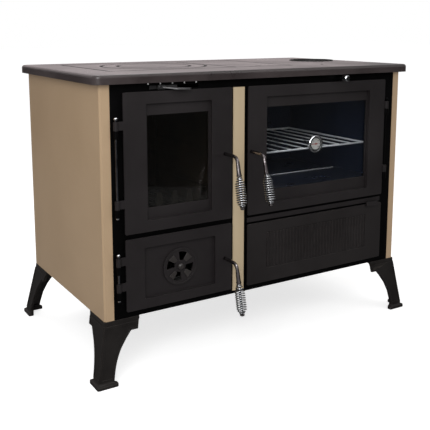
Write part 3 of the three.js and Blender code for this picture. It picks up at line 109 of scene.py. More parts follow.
def soft_lamp(name, place, aim, width, power):
    """A square soft box that points at one place."""
    lamp_data = bpy.data.lights.new(name, "AREA")
    lamp_data.shape = "SQUARE"
    lamp_data.size = width
    lamp_data.energy = power
    lamp = bpy.data.objects.new(name, lamp_data)
    bpy.context.scene.collection.objects.link(lamp)
    lamp.location = place
    lamp.rotation_euler = (Vector(aim) - Vector(place)).to_track_quat("-Z", "Y").to_euler()
    lamp.visible_camera = False
    lamp.visible_transmission = False
    return lamp


soft_lamp("key_lamp", (-1.45, -1.6, 1.5), (-0.3, -0.25, 0.5), 0.9, 18.5)
soft_lamp("fill_lamp", (1.9, -2.0, 1.2), (0.3, -0.2, 0.4), 1.4, 9)
soft_lamp("top_lamp", (0.0, 0.9, 2.4), (0, 0.1, 0.8), 1.6, 16)


def reflected_card(name, place, width, height, turn, glow, tint=(1, 1, 1, 1), lean=90):
    """A card that only shiny surfaces see: black to calm the doors, lit for hob and handles."""
    bpy.ops.mesh.primitive_plane_add(
        size=1, location=place, rotation=(math.radians(lean), 0, turn),
    )
    card = bpy.context.object
    card.name = name
    card.scale = (width, height, 1)
    bpy.ops.object.transform_apply(location=False, rotation=False, scale=True)
    paint = plain_paint(
        name + "_paint", Base_Color=(0.004, 0.004, 0.004, 1), Roughness=1,
        Specular_IOR_Level=0, Emission_Color=tint, Emission_Strength=glow,
    )[0]
    card.data.materials.append(paint)
    card.visible_camera = False
    card.visible_diffuse = False
    card.visible_shadow = False
    card.visible_transmission = False


reflected_card("black_card", (1.6, -1.9, 0.75), 3.2, 1.5, math.radians(28), 0)
reflected_card("edge_card", (-1.85, 2.9, 0.62), 1.9, 1.1, 0, 0)
reflected_card("white_card", (1.1, 3.0, 1.3), 4.8, 2.4, 0, 0.86, (1.0, 0.87, 0.88, 1))
reflected_card("glint_card", (0.0, -0.95, 1.7), 1.8, 0.45, 0, 3.5, lean=20)


# Hob: a thick iron plate with a rounded edge, two lift-off plates, a ring and a lid, all blacked
# and baked. The loose pieces lie in their rebates; soot and grease sit along their seams, with
# painted shade over them that stands for the shade in the grooves. The one slotted screw at the
# right front holds the hob down.
mm = 0.001


def tone(red, green, blue):
    """A paint chip's red, green and blue as the shader's linear colour."""
    parts = []
    for part in (red, green, blue):
        share = part / 255
        parts.append(share / 12.92 if share <= 0.04045 else ((share + 0.055) / 1.055) ** 2.4)
    return (*parts, 1.0)


def effect_group(name, wanted, given):
    """An empty effect with its named inputs and outputs; its two end nodes come back with it."""
    group = bpy.data.node_groups.new(name, "ShaderNodeTree")
    for label, kind, value in wanted:
        socket = group.interface.new_socket(name=label, in_out="INPUT", socket_type=kind)
        if value is not None:
            socket.default_value = value
    for label, kind in given:
        group.interface.new_socket(name=label, in_out="OUTPUT", socket_type=kind)
    return group, group.nodes.new("NodeGroupInput"), group.nodes.new("NodeGroupOutput")


def worked_out(group, operation, *values):
    """One step of arithmetic on sockets or numbers."""
    step = group.nodes.new("ShaderNodeMath")
    step.operation = operation
    for place, value in enumerate(values):
        if isinstance(value, (int, float)):
            step.inputs[place].default_value = value
        else:
            group.links.new(value, step.inputs[place])
    return step.outputs[0]


def blended(group, share, first, second):
    """A tone that turns from the first into the second with its share."""
    mix = group.nodes.new("ShaderNodeMix")
    mix.data_type = "RGBA"
    group.links.new(share, mix.inputs["Factor"])
    group.links.new(first, mix.inputs["A"])
    group.links.new(second, mix.inputs["B"])
    return mix.outputs["Result"]


def sized_map(group, source, low, high, top=1):
    """Spreads the middle of a noise over the whole of nought to the top."""
    spread = settle(
        group.nodes.new("ShaderNodeMapRange"), From_Min=low, From_Max=high, To_Max=top,
    )
    group.links.new(source, spread.inputs["Value"])
    return spread.outputs["Result"]


def build_metal_grain():
    """Cloudy tone and gloss with a fine grain for height."""
    group, start, end = effect_group("Metal grain", [
        ("Place", "NodeSocketVector", None), ("Clouds", "NodeSocketFloat", 6.0),
        ("Grain", "NodeSocketFloat", 400.0), ("Dark", "NodeSocketColor", (0, 0, 0, 1)),
        ("Light", "NodeSocketColor", (1, 1, 1, 1)), ("Gloss", "NodeSocketFloat", 0.5),
        ("Gloss spread", "NodeSocketFloat", 0.1),
    ], [
        ("Tone", "NodeSocketColor"), ("Roughness", "NodeSocketFloat"),
        ("Height", "NodeSocketFloat"),
    ])
    clouds = settle(group.nodes.new("ShaderNodeTexNoise"), Detail=5, Roughness=0.62)
    group.links.new(start.outputs["Place"], clouds.inputs["Vector"])
    group.links.new(start.outputs["Clouds"], clouds.inputs["Scale"])
    patch = sized_map(group, clouds.outputs["Fac"], 0.34, 0.66)
    clouded = blended(group, patch, start.outputs["Dark"], start.outputs["Light"])
    group.links.new(clouded, end.inputs["Tone"])
    grain = settle(group.nodes.new("ShaderNodeTexNoise"), Detail=3)
    group.links.new(start.outputs["Place"], grain.inputs["Vector"])
    group.links.new(start.outputs["Grain"], grain.inputs["Scale"])
    group.links.new(grain.outputs["Fac"], end.inputs["Height"])
    gloss = worked_out(
        group, "MULTIPLY_ADD", worked_out(group, "SUBTRACT", patch, 0.5),
        start.outputs["Gloss spread"], start.outputs["Gloss"],
    )
    group.links.new(gloss, end.inputs["Roughness"])
    return group


def build_rubbed_and_lit_edge():
    """Eased edges: a softened normal, and a paler tone where hands and tools rub an edge, which
    also stands as a painted highlight along it.
    """
    group, start, end = effect_group("Rubbed edge", [
        ("Radius", "NodeSocketFloat", 0.001), ("Tone", "NodeSocketColor", (0, 0, 0, 1)),
        ("Rubbed", "NodeSocketColor", (1, 1, 1, 1)), ("Amount", "NodeSocketFloat", 0.3),
        ("Place", "NodeSocketVector", None),
    ], [("Tone", "NodeSocketColor"), ("Normal", "NodeSocketVector")])
    eased = group.nodes.new("ShaderNodeBevel")
    eased.samples = 4
    group.links.new(start.outputs["Radius"], eased.inputs["Radius"])
    group.links.new(eased.outputs["Normal"], end.inputs["Normal"])
    flat = group.nodes.new("ShaderNodeNewGeometry")
    across = group.nodes.new("ShaderNodeVectorMath")
    across.operation = "DOT_PRODUCT"
    group.links.new(eased.outputs["Normal"], across.inputs[0])
    group.links.new(flat.outputs["True Normal"], across.inputs[1])
    near = sized_map(group, across.outputs["Value"], 0.995, 0.86)
    ragged = settle(group.nodes.new("ShaderNodeTexNoise"), Scale=55, Detail=3)
    group.links.new(start.outputs["Place"], ragged.inputs["Vector"])
    broken = worked_out(
        group, "MULTIPLY", near, sized_map(group, ragged.outputs["Fac"], 0.35, 0.6),
    )
    amount = worked_out(group, "MULTIPLY", broken, start.outputs["Amount"])
    # Paler edges: partly wear, partly a painted highlight along every edge.
    worn = blended(group, amount, start.outputs["Tone"], start.outputs["Rubbed"])
    group.links.new(worn, end.inputs["Tone"])
    return group


metal_grain = build_metal_grain()
rubbed_and_lit_edge = build_rubbed_and_lit_edge()


def placed_effect(tree, effect, **values):
    """An effect's node in a material, with its values set."""
    node = tree.nodes.new("ShaderNodeGroup")
    node.node_tree = effect
    return settle(node, **values)


def metal_finish(name, dark, light, edge_tone, gloss, spread=0.1, clouds=6.0, grain=400.0,
                 bump=0.15, grain_depth=0.0002, edge=0.0012, rub_and_glint=0.3, metallic=0.0, shine=0.5,
                 stretch=(1, 1, 1)):
    """A paint, plating or bare metal: cloudy tone, fine grain, and edges paled partly by wear and
    partly by a painted highlight.
    """
    finish, surface = plain_paint(name, Metallic=metallic, Specular_IOR_Level=shine)
    tree = finish.node_tree
    where = tree.nodes.new("ShaderNodeTexCoord")
    fitted = settle(tree.nodes.new("ShaderNodeMapping"), Scale=stretch)
    tree.links.new(where.outputs["Object"], fitted.inputs["Vector"])
    skin = placed_effect(
        tree, metal_grain, Clouds=clouds, Grain=grain, Dark=dark, Light=light, Gloss=gloss,
        Gloss_spread=spread,
    )
    tree.links.new(fitted.outputs["Vector"], skin.inputs["Place"])
    # Edges paled partly by wear and partly by a painted highlight.
    edges = placed_effect(tree, rubbed_and_lit_edge, Radius=edge, Rubbed=edge_tone, Amount=rub_and_glint)
    tree.links.new(where.outputs["Object"], edges.inputs["Place"])
    tree.links.new(skin.outputs["Tone"], edges.inputs["Tone"])
    tree.links.new(edges.outputs["Tone"], surface.inputs["Base Color"])
    tree.links.new(skin.outputs["Roughness"], surface.inputs["Roughness"])
    raised = settle(tree.nodes.new("ShaderNodeBump"), Strength=bump, Distance=grain_depth)
    tree.links.new(skin.outputs["Height"], raised.inputs["Height"])
    tree.links.new(edges.outputs["Normal"], raised.inputs["Normal"])
    tree.links.new(raised.outputs["Normal"], surface.inputs["Normal"])
    return finish


def dress(finish, *names):
    """Gives the finish to CAD nodes, in their object's material slots."""
    for name in names:
        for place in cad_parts[name].material_slots:
            place.material = finish


def hold(piece):
    """Leaves this piece alone selected and active."""
    bpy.ops.object.select_all(action="DESELECT")
    piece.select_set(True)
    bpy.context.view_layer.objects.active = piece


def fit_piece(piece, name, finish, body, smooth=40):
    """Names a finished piece, fixes its place in its mesh, smooths it and lets it ride."""
    hold(piece)
    bpy.ops.object.transform_apply(location=True, rotation=True, scale=True)
    bpy.ops.object.shade_smooth_by_angle(angle=math.radians(smooth))
    piece.name = name
    piece.data.name = name
    piece.data.materials.clear()
    piece.data.materials.append(finish)
    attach(piece, body)
    return piece


def pick_faces(piece, wanted):
    """In edit mode, selects only the faces whose middle and normal are wanted."""
    bpy.ops.object.mode_set(mode="OBJECT")
    hold(piece)
    bpy.ops.object.mode_set(mode="EDIT")
    bpy.ops.mesh.select_mode(type="FACE")
    bpy.ops.mesh.select_all(action="DESELECT")
    bpy.ops.object.mode_set(mode="OBJECT")
    for face in piece.data.polygons:
        face.select = bool(wanted(face.center, face.normal))
    bpy.ops.object.mode_set(mode="EDIT")


def take_all():
    """In edit mode, selects the whole mesh."""
    bpy.ops.mesh.select_all(action="SELECT")


def slotted_screw(radius, proud):
    """A domed screw head standing on z = 0, with a slot cut across it."""
    bpy.ops.mesh.primitive_cylinder_add(
        vertices=32, radius=radius, depth=2 * proud, location=(0, 0, 0),
    )
    head = bpy.context.object
    pick_faces(head, lambda middle, normal: normal.z > 0.9)
    bpy.ops.mesh.inset(thickness=0.1 * radius, depth=0.2 * proud)
    bpy.ops.mesh.inset(thickness=0.16 * radius, depth=0.1 * proud)
    half = 0.13 * radius
    for side in (-half, half):
        pick_faces(head, lambda middle, normal: normal.z > 0.99)
        bpy.ops.mesh.bisect(plane_co=(side, 0, 0), plane_no=(1, 0, 0))
    pick_faces(head, lambda middle, normal: normal.z > 0.99 and abs(middle.x) < half)
    bpy.ops.mesh.extrude_region_move(TRANSFORM_OT_translate={"value": (0, 0, -0.7 * proud)})
    bpy.ops.object.mode_set(mode="OBJECT")
    return head


def copied(piece):
    """A copy of the piece with its own mesh, selected and active."""
    hold(piece)
    bpy.ops.object.duplicate()
    return bpy.context.object


def joined(pieces):
    """Several pieces made one, under the first one's name."""
    bpy.ops.object.select_all(action="DESELECT")
    for piece in pieces:
        piece.select_set(True)
    bpy.context.view_layer.objects.active = pieces[0]
    bpy.ops.object.join()
    return pieces[0]


def eased_block(place, size, ease, steps, turn=(0, 0, 0)):
    """A block of this size at this place, with its edges eased."""
    bpy.ops.mesh.primitive_cube_add(size=1, location=place, rotation=turn)
    block = bpy.context.object
    block.scale = size
    bpy.ops.object.transform_apply(location=False, rotation=False, scale=True)
    bpy.ops.object.mode_set(mode="EDIT")
    take_all()
    bpy.ops.mesh.bevel(offset=ease, segments=steps, affect="EDGES")
    bpy.ops.object.mode_set(mode="OBJECT")
    return block


def drawn_line(places):
    """A line drawn from place to place; it stays open in edit mode."""
    bpy.ops.mesh.primitive_plane_add(size=mm, location=(0, 0, 0))
    line = bpy.context.object
    bpy.ops.object.mode_set(mode="EDIT")
    bpy.ops.mesh.select_mode(type="VERT")
    take_all()
    bpy.ops.mesh.merge(type="CENTER")
    bpy.ops.transform.translate(value=places[0])
    for before, after in zip(places, places[1:]):
        bpy.ops.mesh.extrude_region_move(TRANSFORM_OT_translate={"value": after - before})
    return line


def turned(profile, steps=32):
    """A turned piece about +Z: its profile is drawn as (radius, height), then spun."""
    piece = drawn_line([Vector((radius, 0, height)) for radius, height in profile])
    take_all()
    bpy.ops.mesh.spin(steps=steps, angle=2 * math.pi, center=(0, 0, 0), axis=(0, 0, 1))
    take_all()
    bpy.ops.mesh.remove_doubles(threshold=0.00001)
    bpy.ops.mesh.normals_make_consistent(inside=False)
    bpy.ops.object.mode_set(mode="OBJECT")
    return piece


left_low, left_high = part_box("cooking_plate_left")
right_low, right_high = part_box("cooking_plate_right")
ring_low, ring_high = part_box("hob_ring")
lid_low, lid_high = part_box("hob_lid")


def build_seam_soot_and_shade():
    """Soot and grease along the seams of the lift-off plates, the ring and the lid, with painted
    shade for the grooves between them.
    """
    group, start, end = effect_group("Seam soot", [
        ("Place", "NodeSocketVector", None), ("Tone", "NodeSocketColor", (1, 1, 1, 1)),
        ("Soot", "NodeSocketColor", (0, 0, 0, 1)), ("Roughness", "NodeSocketFloat", 0.5),
        ("Reach", "NodeSocketFloat", 0.004),
    ], [("Tone", "NodeSocketColor"), ("Roughness", "NodeSocketFloat")])
    parts = group.nodes.new("ShaderNodeSeparateXYZ")
    group.links.new(start.outputs["Place"], parts.inputs["Vector"])

    def work(operation, *values):
        return worked_out(group, operation, *values)

    past_rim = []
    for axis, low, high in (("X", left_low[0], right_high[0]), ("Y", left_low[1], left_high[1])):
        aside = work("ABSOLUTE", work("SUBTRACT", parts.outputs[axis], (low + high) / 2))
        past_rim.append(work("SUBTRACT", aside, (high - low) / 2))
    rim = work("MAXIMUM", *past_rim)
    split = work("SUBTRACT", parts.outputs["X"], (left_high[0] + right_low[0]) / 2)
    nearest = work(
        "MINIMUM", work("ABSOLUTE", rim), work("MAXIMUM", work("ABSOLUTE", split), rim),
    )
    for low, high in ((ring_low, ring_high), (lid_low, lid_high)):
        across = work("SUBTRACT", parts.outputs["X"], (low[0] + high[0]) / 2)
        along = work("SUBTRACT", parts.outputs["Y"], (low[1] + high[1]) / 2)
        squares = work("ADD", work("MULTIPLY", across, across), work("MULTIPLY", along, along))
        off = work("SUBTRACT", work("SQRT", squares), (high[0] - low[0]) / 2)
        nearest = work("MINIMUM", nearest, work("ABSOLUTE", off))
    close = worked_out(group, "DIVIDE", nearest, start.outputs["Reach"])
    # Soot and painted shade: how much of the near-black tone lies near a seam.
    soot = sized_map(group, close, 1.3, 0.7)
    sooted_and_shaded = blended(group, soot, start.outputs["Tone"], start.outputs["Soot"])
    group.links.new(sooted_and_shaded, end.inputs["Tone"])
    dull = group.nodes.new("ShaderNodeMix")
    group.links.new(soot, dull.inputs["Factor"])
    group.links.new(start.outputs["Roughness"], dull.inputs["A"])
    dull.inputs["B"].default_value = 1
    group.links.new(dull.outputs["Result"], end.inputs["Roughness"])
    return group


hob_black = metal_finish(
    "hob_black", tone(50, 43, 43), tone(69, 60, 60), tone(92, 84, 83),
    gloss=0.34, spread=0.14, clouds=5, grain=260, bump=0.2, edge=0.0022, shine=0.55,
)
hob_tree = hob_black.node_tree
hob_surface = hob_tree.nodes["Principled BSDF"]
# Soot with painted shade: a near-black band along each seam, also duller there.
seam_soot_and_shade = placed_effect(
    hob_tree, build_seam_soot_and_shade(), Soot=tone(7, 5, 5), Reach=4.5 * mm,
)
hob_tree.links.new(
    hob_tree.nodes["Texture Coordinate"].outputs["Object"], seam_soot_and_shade.inputs["Place"],
)
for label, socket in (("Tone", "Base Color"), ("Roughness", "Roughness")):
    hob_tree.links.new(hob_surface.inputs[socket].links[0].from_socket, seam_soot_and_shade.inputs[label])
    hob_tree.links.new(seam_soot_and_shade.outputs[label], hob_surface.inputs[socket])
dress(hob_black, "hob_plate", "cooking_plate_left", "cooking_plate_right", "hob_ring", "hob_lid")
hob_low, hob_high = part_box("hob_plate")
screw_from_right, screw_from_front = 259 * mm, 135 * mm
hob_screw = slotted_screw(radius=4.5 * mm, proud=0.7 * mm)
hob_screw.location = (
    hob_high[0] - screw_from_right, hob_low[1] + screw_from_front, hob_high[2],
)
hob_screw.rotation_euler = (0, 0, math.radians(35))
fit_piece(hob_screw, "hob_screw", hob_black, "stove")


# Flue collar: a short cast-iron tube for the stovepipe, pushed up through the hob. Its flange
# is bolted to the underside, and it is blacked inside and out.
flue_iron = metal_finish(
    "flue_iron", tone(24, 22, 22), tone(38, 35, 34), tone(90, 86, 84),
    gloss=0.6, clouds=12, grain=300, bump=0.35, rub_and_glint=0.35,
)
dress(flue_iron, "flue_collar")


# Side panels and centre strip: folded steel sheet under a glossy beige enamel, fired on, with a
# faint orange peel. The strip between the doors has the same enamel with a fine brushed grain,
# made a little lighter: painted light, as if more light fell on it.
beige_enamel = metal_finish(
    "beige_enamel", tone(178, 151, 120), tone(185, 158, 127), tone(120, 104, 84),
    gloss=0.34, spread=0.06, clouds=3, grain=160, bump=0.05, edge=0.0014, rub_and_glint=0.15,
)
# Painted light: a lighter copy of the same enamel for the strip.
strip_enamel = metal_finish(
    "strip_enamel", tone(192, 172, 140), tone(204, 184, 152), tone(120, 104, 84),
    gloss=0.36, spread=0.08, clouds=4, grain=500, bump=0.06, edge=0.0010, rub_and_glint=0.15,
    stretch=(1, 1, 0.06),
)
dress(beige_enamel, "left_side_panel", "right_side_panel")
dress(strip_enamel, "center_strip")


# Back panel and base plate: black sheet, held to the side panels' rear folds and to the hob's rim
# by fourteen zinc-plated slotted screws.
sheet_black = metal_finish(
    "sheet_black", tone(20, 20, 21), tone(28, 27, 28), tone(70, 68, 66),
    gloss=0.5, clouds=5, grain=350, bump=0.12, edge=0.001, rub_and_glint=0.25, shine=0.25,
)
dress(sheet_black, "back_panel", "base_plate")
back_low, back_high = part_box("back_panel")
zinc = metal_finish(
    "zinc", tone(96, 96, 94), tone(128, 127, 123), tone(160, 158, 154),
    gloss=0.45, clouds=40, grain=500, bump=0.1, edge=0.0005, metallic=0.9,
)
sheet_screw = slotted_screw(radius=4.2 * mm, proud=1.6 * mm)
sheet_screw.rotation_euler = (-math.pi / 2, 0, 0)
hold(sheet_screw)
bpy.ops.object.transform_apply(location=False, rotation=True, scale=False)
shares_across, shares_upward = (0.012, 0.254, 0.5, 0.746, 0.988), (0.03, 0.36, 0.67, 0.97)
screw_places = [
    (across, upward) for across in shares_across for upward in shares_upward
    if across in (shares_across[0], shares_across[-1])
    or upward in (shares_upward[0], shares_upward[-1])
]
for step, (across, upward) in enumerate(screw_places):
    screw = copied(sheet_screw)
    screw.location = (
        back_low[0] + across * (back_high[0] - back_low[0]), back_high[1],
        back_low[2] + upward * (back_high[2] - back_low[2]),
    )
    fit_piece(screw, "back_screw_" + str(step + 1), zinc, "stove", 40)


# Front frame: one pressed steel sheet with the openings cut out, painted satin black, folded
# back at its edges and screwed between the side panels. The doors close against it.
frame_black = metal_finish(
    "frame_black", tone(3, 3, 3), tone(6, 5, 6), tone(36, 34, 34),
    gloss=0.5, clouds=7, grain=420, bump=0.12, edge=0.0009, rub_and_glint=0.2, shine=0.06,
)
dress(frame_black, "front_frame")


# Legs: four hollow iron castings, each with two curved walls that meet in a leaning corner, a
# raised border along each wall and an angle-shaped foot. They are sand cast, blacked, and
# bolted up through their top sheet into the base plate.
leg_iron = metal_finish(
    "leg_iron", tone(24, 20, 19), tone(34, 30, 28), tone(84, 78, 72),
    gloss=0.5, spread=0.16, clouds=14, grain=240, bump=0.5, grain_depth=0.0004,
    edge=0.002, rub_and_glint=0.35, shine=0.3,
)
dress(leg_iron, "leg_front_left", "leg_front_right", "leg_rear_left", "leg_rear_right")
foot_wide, foot_arm, foot_sole, foot_rise = 62 * mm, 17 * mm, 8.5 * mm, 15 * mm
foot_shrinks_to = 27.6 * mm
foot_flare = 8 * mm
leg_drop = 164 * mm
lean_aside, lean_front, lean_rear = 28 * mm, 20 * mm, 40 * mm
border_wide, border_proud, border_sunk = 6 * mm, 1.7 * mm, 0.4 * mm


def cast_leg(name):
    """The leg's two walls and top sheet, cut off above the foot, with its corner and lean."""
    leg = bpy.data.objects.new(name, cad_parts[name].data.copy())
    bpy.context.scene.collection.objects.link(leg)
    low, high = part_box(name)
    outward = [-1 if abs(low[i]) > abs(high[i]) else 1 for i in range(2)]
    splay = [lean_aside, lean_rear if outward[1] > 0 else lean_front]
    corner = [
        (high[i] if outward[i] > 0 else low[i]) - outward[i] * (splay[i] + foot_flare)
        for i in range(2)
    ]
    hold(leg)
    bpy.ops.object.mode_set(mode="EDIT")
    bpy.ops.mesh.select_mode(type="VERT")
    take_all()
    bpy.ops.mesh.remove_doubles(threshold=0.00002)
    bpy.ops.mesh.dissolve_limited(angle_limit=math.radians(1))
    take_all()
    bpy.ops.mesh.bisect(
        plane_co=(0, 0, low[2] + foot_rise), plane_no=(0, 0, 1), use_fill=True, clear_inner=True,
    )
    bpy.ops.object.mode_set(mode="OBJECT")
    return leg, outward, splay, corner, low, high


def leg_border(outward, splay, corner, top, axis):
    """The raised border of one wall, drawn round its edge and along the curve of its inside.

    The outline's points say how far in from the leg's corner and how far down they lie, in mm.
    """
    other = 1 - axis
    outline = [(0, 13), (102, 13), (102, 35), (81, 35)]
    for step in range(1, 13):
        share = step / 12
        outline.append((43.4 + 38.6 * (1 - share) ** 2.7, 36 + 124 * share))
    outline.append((0, 160))
    places = []
    for inward, down in outline:
        place = [0, 0, top - down * mm]
        lean = down * mm / leg_drop
        place[other] = corner[other] + outward[other] * (splay[other] * lean - inward * mm)
        place[axis] = corner[axis] + outward[axis] * (splay[axis] * lean - border_sunk)
        places.append(Vector(place))
    border = drawn_line(places)
    take_all()
    bpy.ops.mesh.edge_face_add()
    bpy.ops.mesh.select_mode(type="FACE")
    take_all()
    bpy.ops.mesh.inset(thickness=border_wide, depth=0)
    bpy.ops.mesh.delete(type="FACE")
    take_all()
    outwards = [0, 0, 0]
    outwards[axis] = outward[axis] * border_proud
    bpy.ops.mesh.extrude_region_move(TRANSFORM_OT_translate={"value": outwards})
    take_all()
    bpy.ops.mesh.normals_make_consistent(inside=False)
    bpy.ops.object.mode_set(mode="OBJECT")
    return border


def foot_pad(low, high, outward):
    """The leg's foot: a thick angle-shaped sole, round cornered, that sweeps in to the ankle."""
    corner = [high[i] if outward[i] > 0 else low[i] for i in range(2)]
    place = [corner[i] - outward[i] * foot_arm / 2 for i in range(2)]
    bpy.ops.mesh.primitive_cube_add(size=1, location=(*place, low[2] + foot_sole / 2))
    foot = bpy.context.object
    foot.scale = (foot_arm, foot_arm, foot_sole)
    bpy.ops.object.transform_apply(location=True, rotation=False, scale=True)
    for axis in range(2):
        other = 1 - axis
        pick_faces(foot, lambda middle, normal: (
            normal[axis] * outward[axis] < -0.9 and abs(middle[other] - place[other]) < foot_arm / 2
        ))
        reach = [0, 0, 0]
        reach[axis] = -outward[axis] * (foot_wide - foot_arm)
        bpy.ops.mesh.extrude_region_move(TRANSFORM_OT_translate={"value": reach})
    take_all()
    bpy.ops.mesh.dissolve_limited(angle_limit=math.radians(1))
    bpy.ops.mesh.select_mode(type="EDGE")
    bpy.ops.mesh.select_all(action="DESELECT")
    bpy.ops.object.mode_set(mode="OBJECT")
    corners = foot.data.vertices
    for line in foot.data.edges:
        ends = [corners[i].co for i in line.vertices]
        line.select = abs(ends[0].z - ends[1].z) > foot_sole / 2
    bpy.ops.object.mode_set(mode="EDIT")
    bpy.ops.mesh.bevel(offset=5 * mm, segments=4, affect="EDGES")
    pick_faces(foot, lambda middle, normal: normal.z > 0.9)
    ankle = [corner[i] - outward[i] * foot_shrinks_to for i in range(2)]
    wide = foot_wide
    for inward, upward in ((0.7, 0.8), (1.6, 0.5), (2.8, 1.0), (2.0, 1.6), (1.2, 2.6), (0.5, 4.0)):
        bpy.ops.mesh.extrude_region_move(TRANSFORM_OT_translate={"value": (0, 0, upward * mm)})
        share = (wide - 2 * inward * mm) / wide
        wide *= share
        bpy.ops.transform.resize(value=(share, share, 1), center_override=(*ankle, 0))
    bpy.ops.object.mode_set(mode="OBJECT")
    return foot


for leg_name in ("leg_front_left", "leg_front_right", "leg_rear_left", "leg_rear_right"):
    leg, leg_outward, leg_lean, leg_corner, leg_low, leg_high = cast_leg(leg_name)
    fit_piece(leg, leg_name + "_walls", leg_iron, "stove", 35)
    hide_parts(leg_name)
    foot = foot_pad(leg_low, leg_high, leg_outward)
    fit_piece(foot, leg_name + "_foot", leg_iron, "stove", 50)
    for axis, side in ((0, "_side_border"), (1, "_front_border")):
        border = leg_border(leg_outward, leg_lean, leg_corner, leg_high[2], axis)
        fit_piece(border, leg_name + side, leg_iron, "stove", 35)


# Firebox: a welded steel shell and smoke shelf, black with soot, lined with fire-clay bricks on
# three sides. A cast grate with a toothed retainer at its front lies over the ash pan. The
# damper and the wood drawer's runners are plain steel like the pan; the drawer's box is black.
soot_steel = metal_finish(
    "soot_steel", tone(10, 9, 8), tone(24, 22, 20), tone(48, 43, 38),
    gloss=0.9, clouds=9, grain=200, bump=0.3, edge=0.001, rub_and_glint=0.2, shine=0.15,
)
fire_clay = metal_finish(
    "fire_clay", tone(15, 12, 9), tone(38, 31, 24), tone(70, 58, 46),
    gloss=0.92, clouds=8, grain=180, bump=0.7, grain_depth=0.0006, edge=0.002, rub_and_glint=0.4, shine=0.2,
)
grate_iron = metal_finish(
    "grate_iron", tone(9, 8, 8), tone(20, 18, 17), tone(60, 56, 52),
    gloss=0.75, clouds=16, grain=260, bump=0.5, grain_depth=0.0004, edge=0.0015, rub_and_glint=0.25,
    shine=0.2,
)
pan_steel = metal_finish(
    "pan_steel", tone(84, 84, 83), tone(104, 103, 101), tone(150, 148, 146),
    gloss=0.5, clouds=18, grain=300, edge=0.0008, rub_and_glint=0.4, metallic=0.5,
)
dress(soot_steel, "firebox_shell", "smoke_shelf")


def build_brick_joints():
    """Dark pressed-in joints between bricks, laid over a tone and a height."""
    group, start, end = effect_group("Brick joints", [
        ("Place", "NodeSocketVector", None), ("Tone", "NodeSocketColor", (1, 1, 1, 1)),
        ("Joint", "NodeSocketColor", (0, 0, 0, 1)),
    ], [("Tone", "NodeSocketColor"), ("Height", "NodeSocketFloat")])
    bricks = settle(
        group.nodes.new("ShaderNodeTexBrick"), Scale=1, Brick_Width=120 * mm,
        Row_Height=180 * mm, Mortar_Size=2 * mm, Mortar_Smooth=0.3,
    )
    group.links.new(start.outputs["Place"], bricks.inputs["Vector"])
    joint = bricks.outputs["Fac"]
    laid = blended(group, joint, start.outputs["Tone"], start.outputs["Joint"])
    group.links.new(laid, end.inputs["Tone"])
    group.links.new(worked_out(group, "SUBTRACT", 1, joint), end.inputs["Height"])
    return group


brick_joints = build_brick_joints()


def lay_bricks(finish, name, facing):
    """A copy of the fire clay with brick joints, drawn on the plane that the lining stands in."""
    laid = finish.copy()
    laid.name = name
    tree = laid.node_tree
    surface = tree.nodes["Principled BSDF"]
    clean = surface.inputs["Base Color"].links[0].from_socket
    raised = surface.inputs["Normal"].links[0].from_node
    where = tree.nodes.new("ShaderNodeTexCoord")
    flat = settle(tree.nodes.new("ShaderNodeMapping"), Rotation=facing)
    tree.links.new(where.outputs["Object"], flat.inputs["Vector"])
    joints = placed_effect(tree, brick_joints, Joint=tone(5, 4, 3))
    tree.links.new(flat.outputs["Vector"], joints.inputs["Place"])
    tree.links.new(clean, joints.inputs["Tone"])
    tree.links.new(joints.outputs["Tone"], surface.inputs["Base Color"])
    sunk = settle(tree.nodes.new("ShaderNodeBump"), Distance=1.5 * mm)
    tree.links.new(joints.outputs["Height"], sunk.inputs["Height"])
    tree.links.new(raised.outputs["Normal"], sunk.inputs["Normal"])
    tree.links.new(sunk.outputs["Normal"], surface.inputs["Normal"])
    return laid


side_bricks = lay_bricks(fire_clay, "fire_clay_side", (math.pi / 2, 0, math.pi / 2))
back_bricks = lay_bricks(fire_clay, "fire_clay_back", (math.pi / 2, 0, 0))
dress(side_bricks, "firebox_lining_left", "firebox_lining_right")
dress(back_bricks, "firebox_lining_back")
dress(grate_iron, "fire_grate", "log_retainer")
dress(pan_steel, "ash_pan", "damper_plate", "drawer_runner_left", "drawer_runner_right")
dress(sheet_black, "drawer_box")


# Oven: a steel mouth and box, welded and coated with dark blue vitreous enamel, with a nickelled
# wire rack on its ledges. A bright nickel strip along the floor where mouth and box meet stands as
# a painted highlight for the floor's lit front edge. The small lamp lets the inside be seen, as in
# a showroom picture.
oven_enamel = metal_finish(
    "oven_enamel", tone(12, 17, 29), tone(19, 26, 41), tone(60, 66, 80),
    gloss=0.3, spread=0.08, clouds=4, grain=200, bump=0.04, edge=0.001, rub_and_glint=0.2, shine=0.3,
)
chrome = metal_finish(
    "chrome", tone(196, 197, 200), tone(226, 227, 230), tone(236, 236, 238),
    gloss=0.11, spread=0.08, clouds=20, grain=500, bump=0.03, edge=0.0004, rub_and_glint=0.2, metallic=1.0,
)
dress(oven_enamel, "oven_mouth", "oven_box")
dress(chrome, "damper_knob")
rack_nickel = metal_finish(
    "rack_nickel", tone(206, 208, 210), tone(232, 233, 235), tone(236, 236, 238),
    gloss=0.34, spread=0.08, clouds=20, grain=500, bump=0.03, edge=0.0004, rub_and_glint=0.2, metallic=0.3,
)
dress(rack_nickel, "oven_rack")
mouth_low, mouth_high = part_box("oven_mouth")
mouth_middle = (mouth_low[0] + mouth_high[0]) / 2
oven_lamp = soft_lamp(
    "oven_lamp", (mouth_middle, mouth_low[1] + 30 * mm, mouth_high[2] - 28 * mm),
    (mouth_middle, mouth_high[1] + 60 * mm, mouth_low[2] + 100 * mm), 0.08, 0.6,
)
oven_lamp.visible_glossy = False
trim_deep, trim_tall = 3 * mm, 2.4 * mm
trim_x = mouth_middle - 8 * mm
trim_y = mouth_high[1] - 2.5 * mm
above_floor = Vector((trim_x, trim_y, mouth_low[2] + 150 * mm))
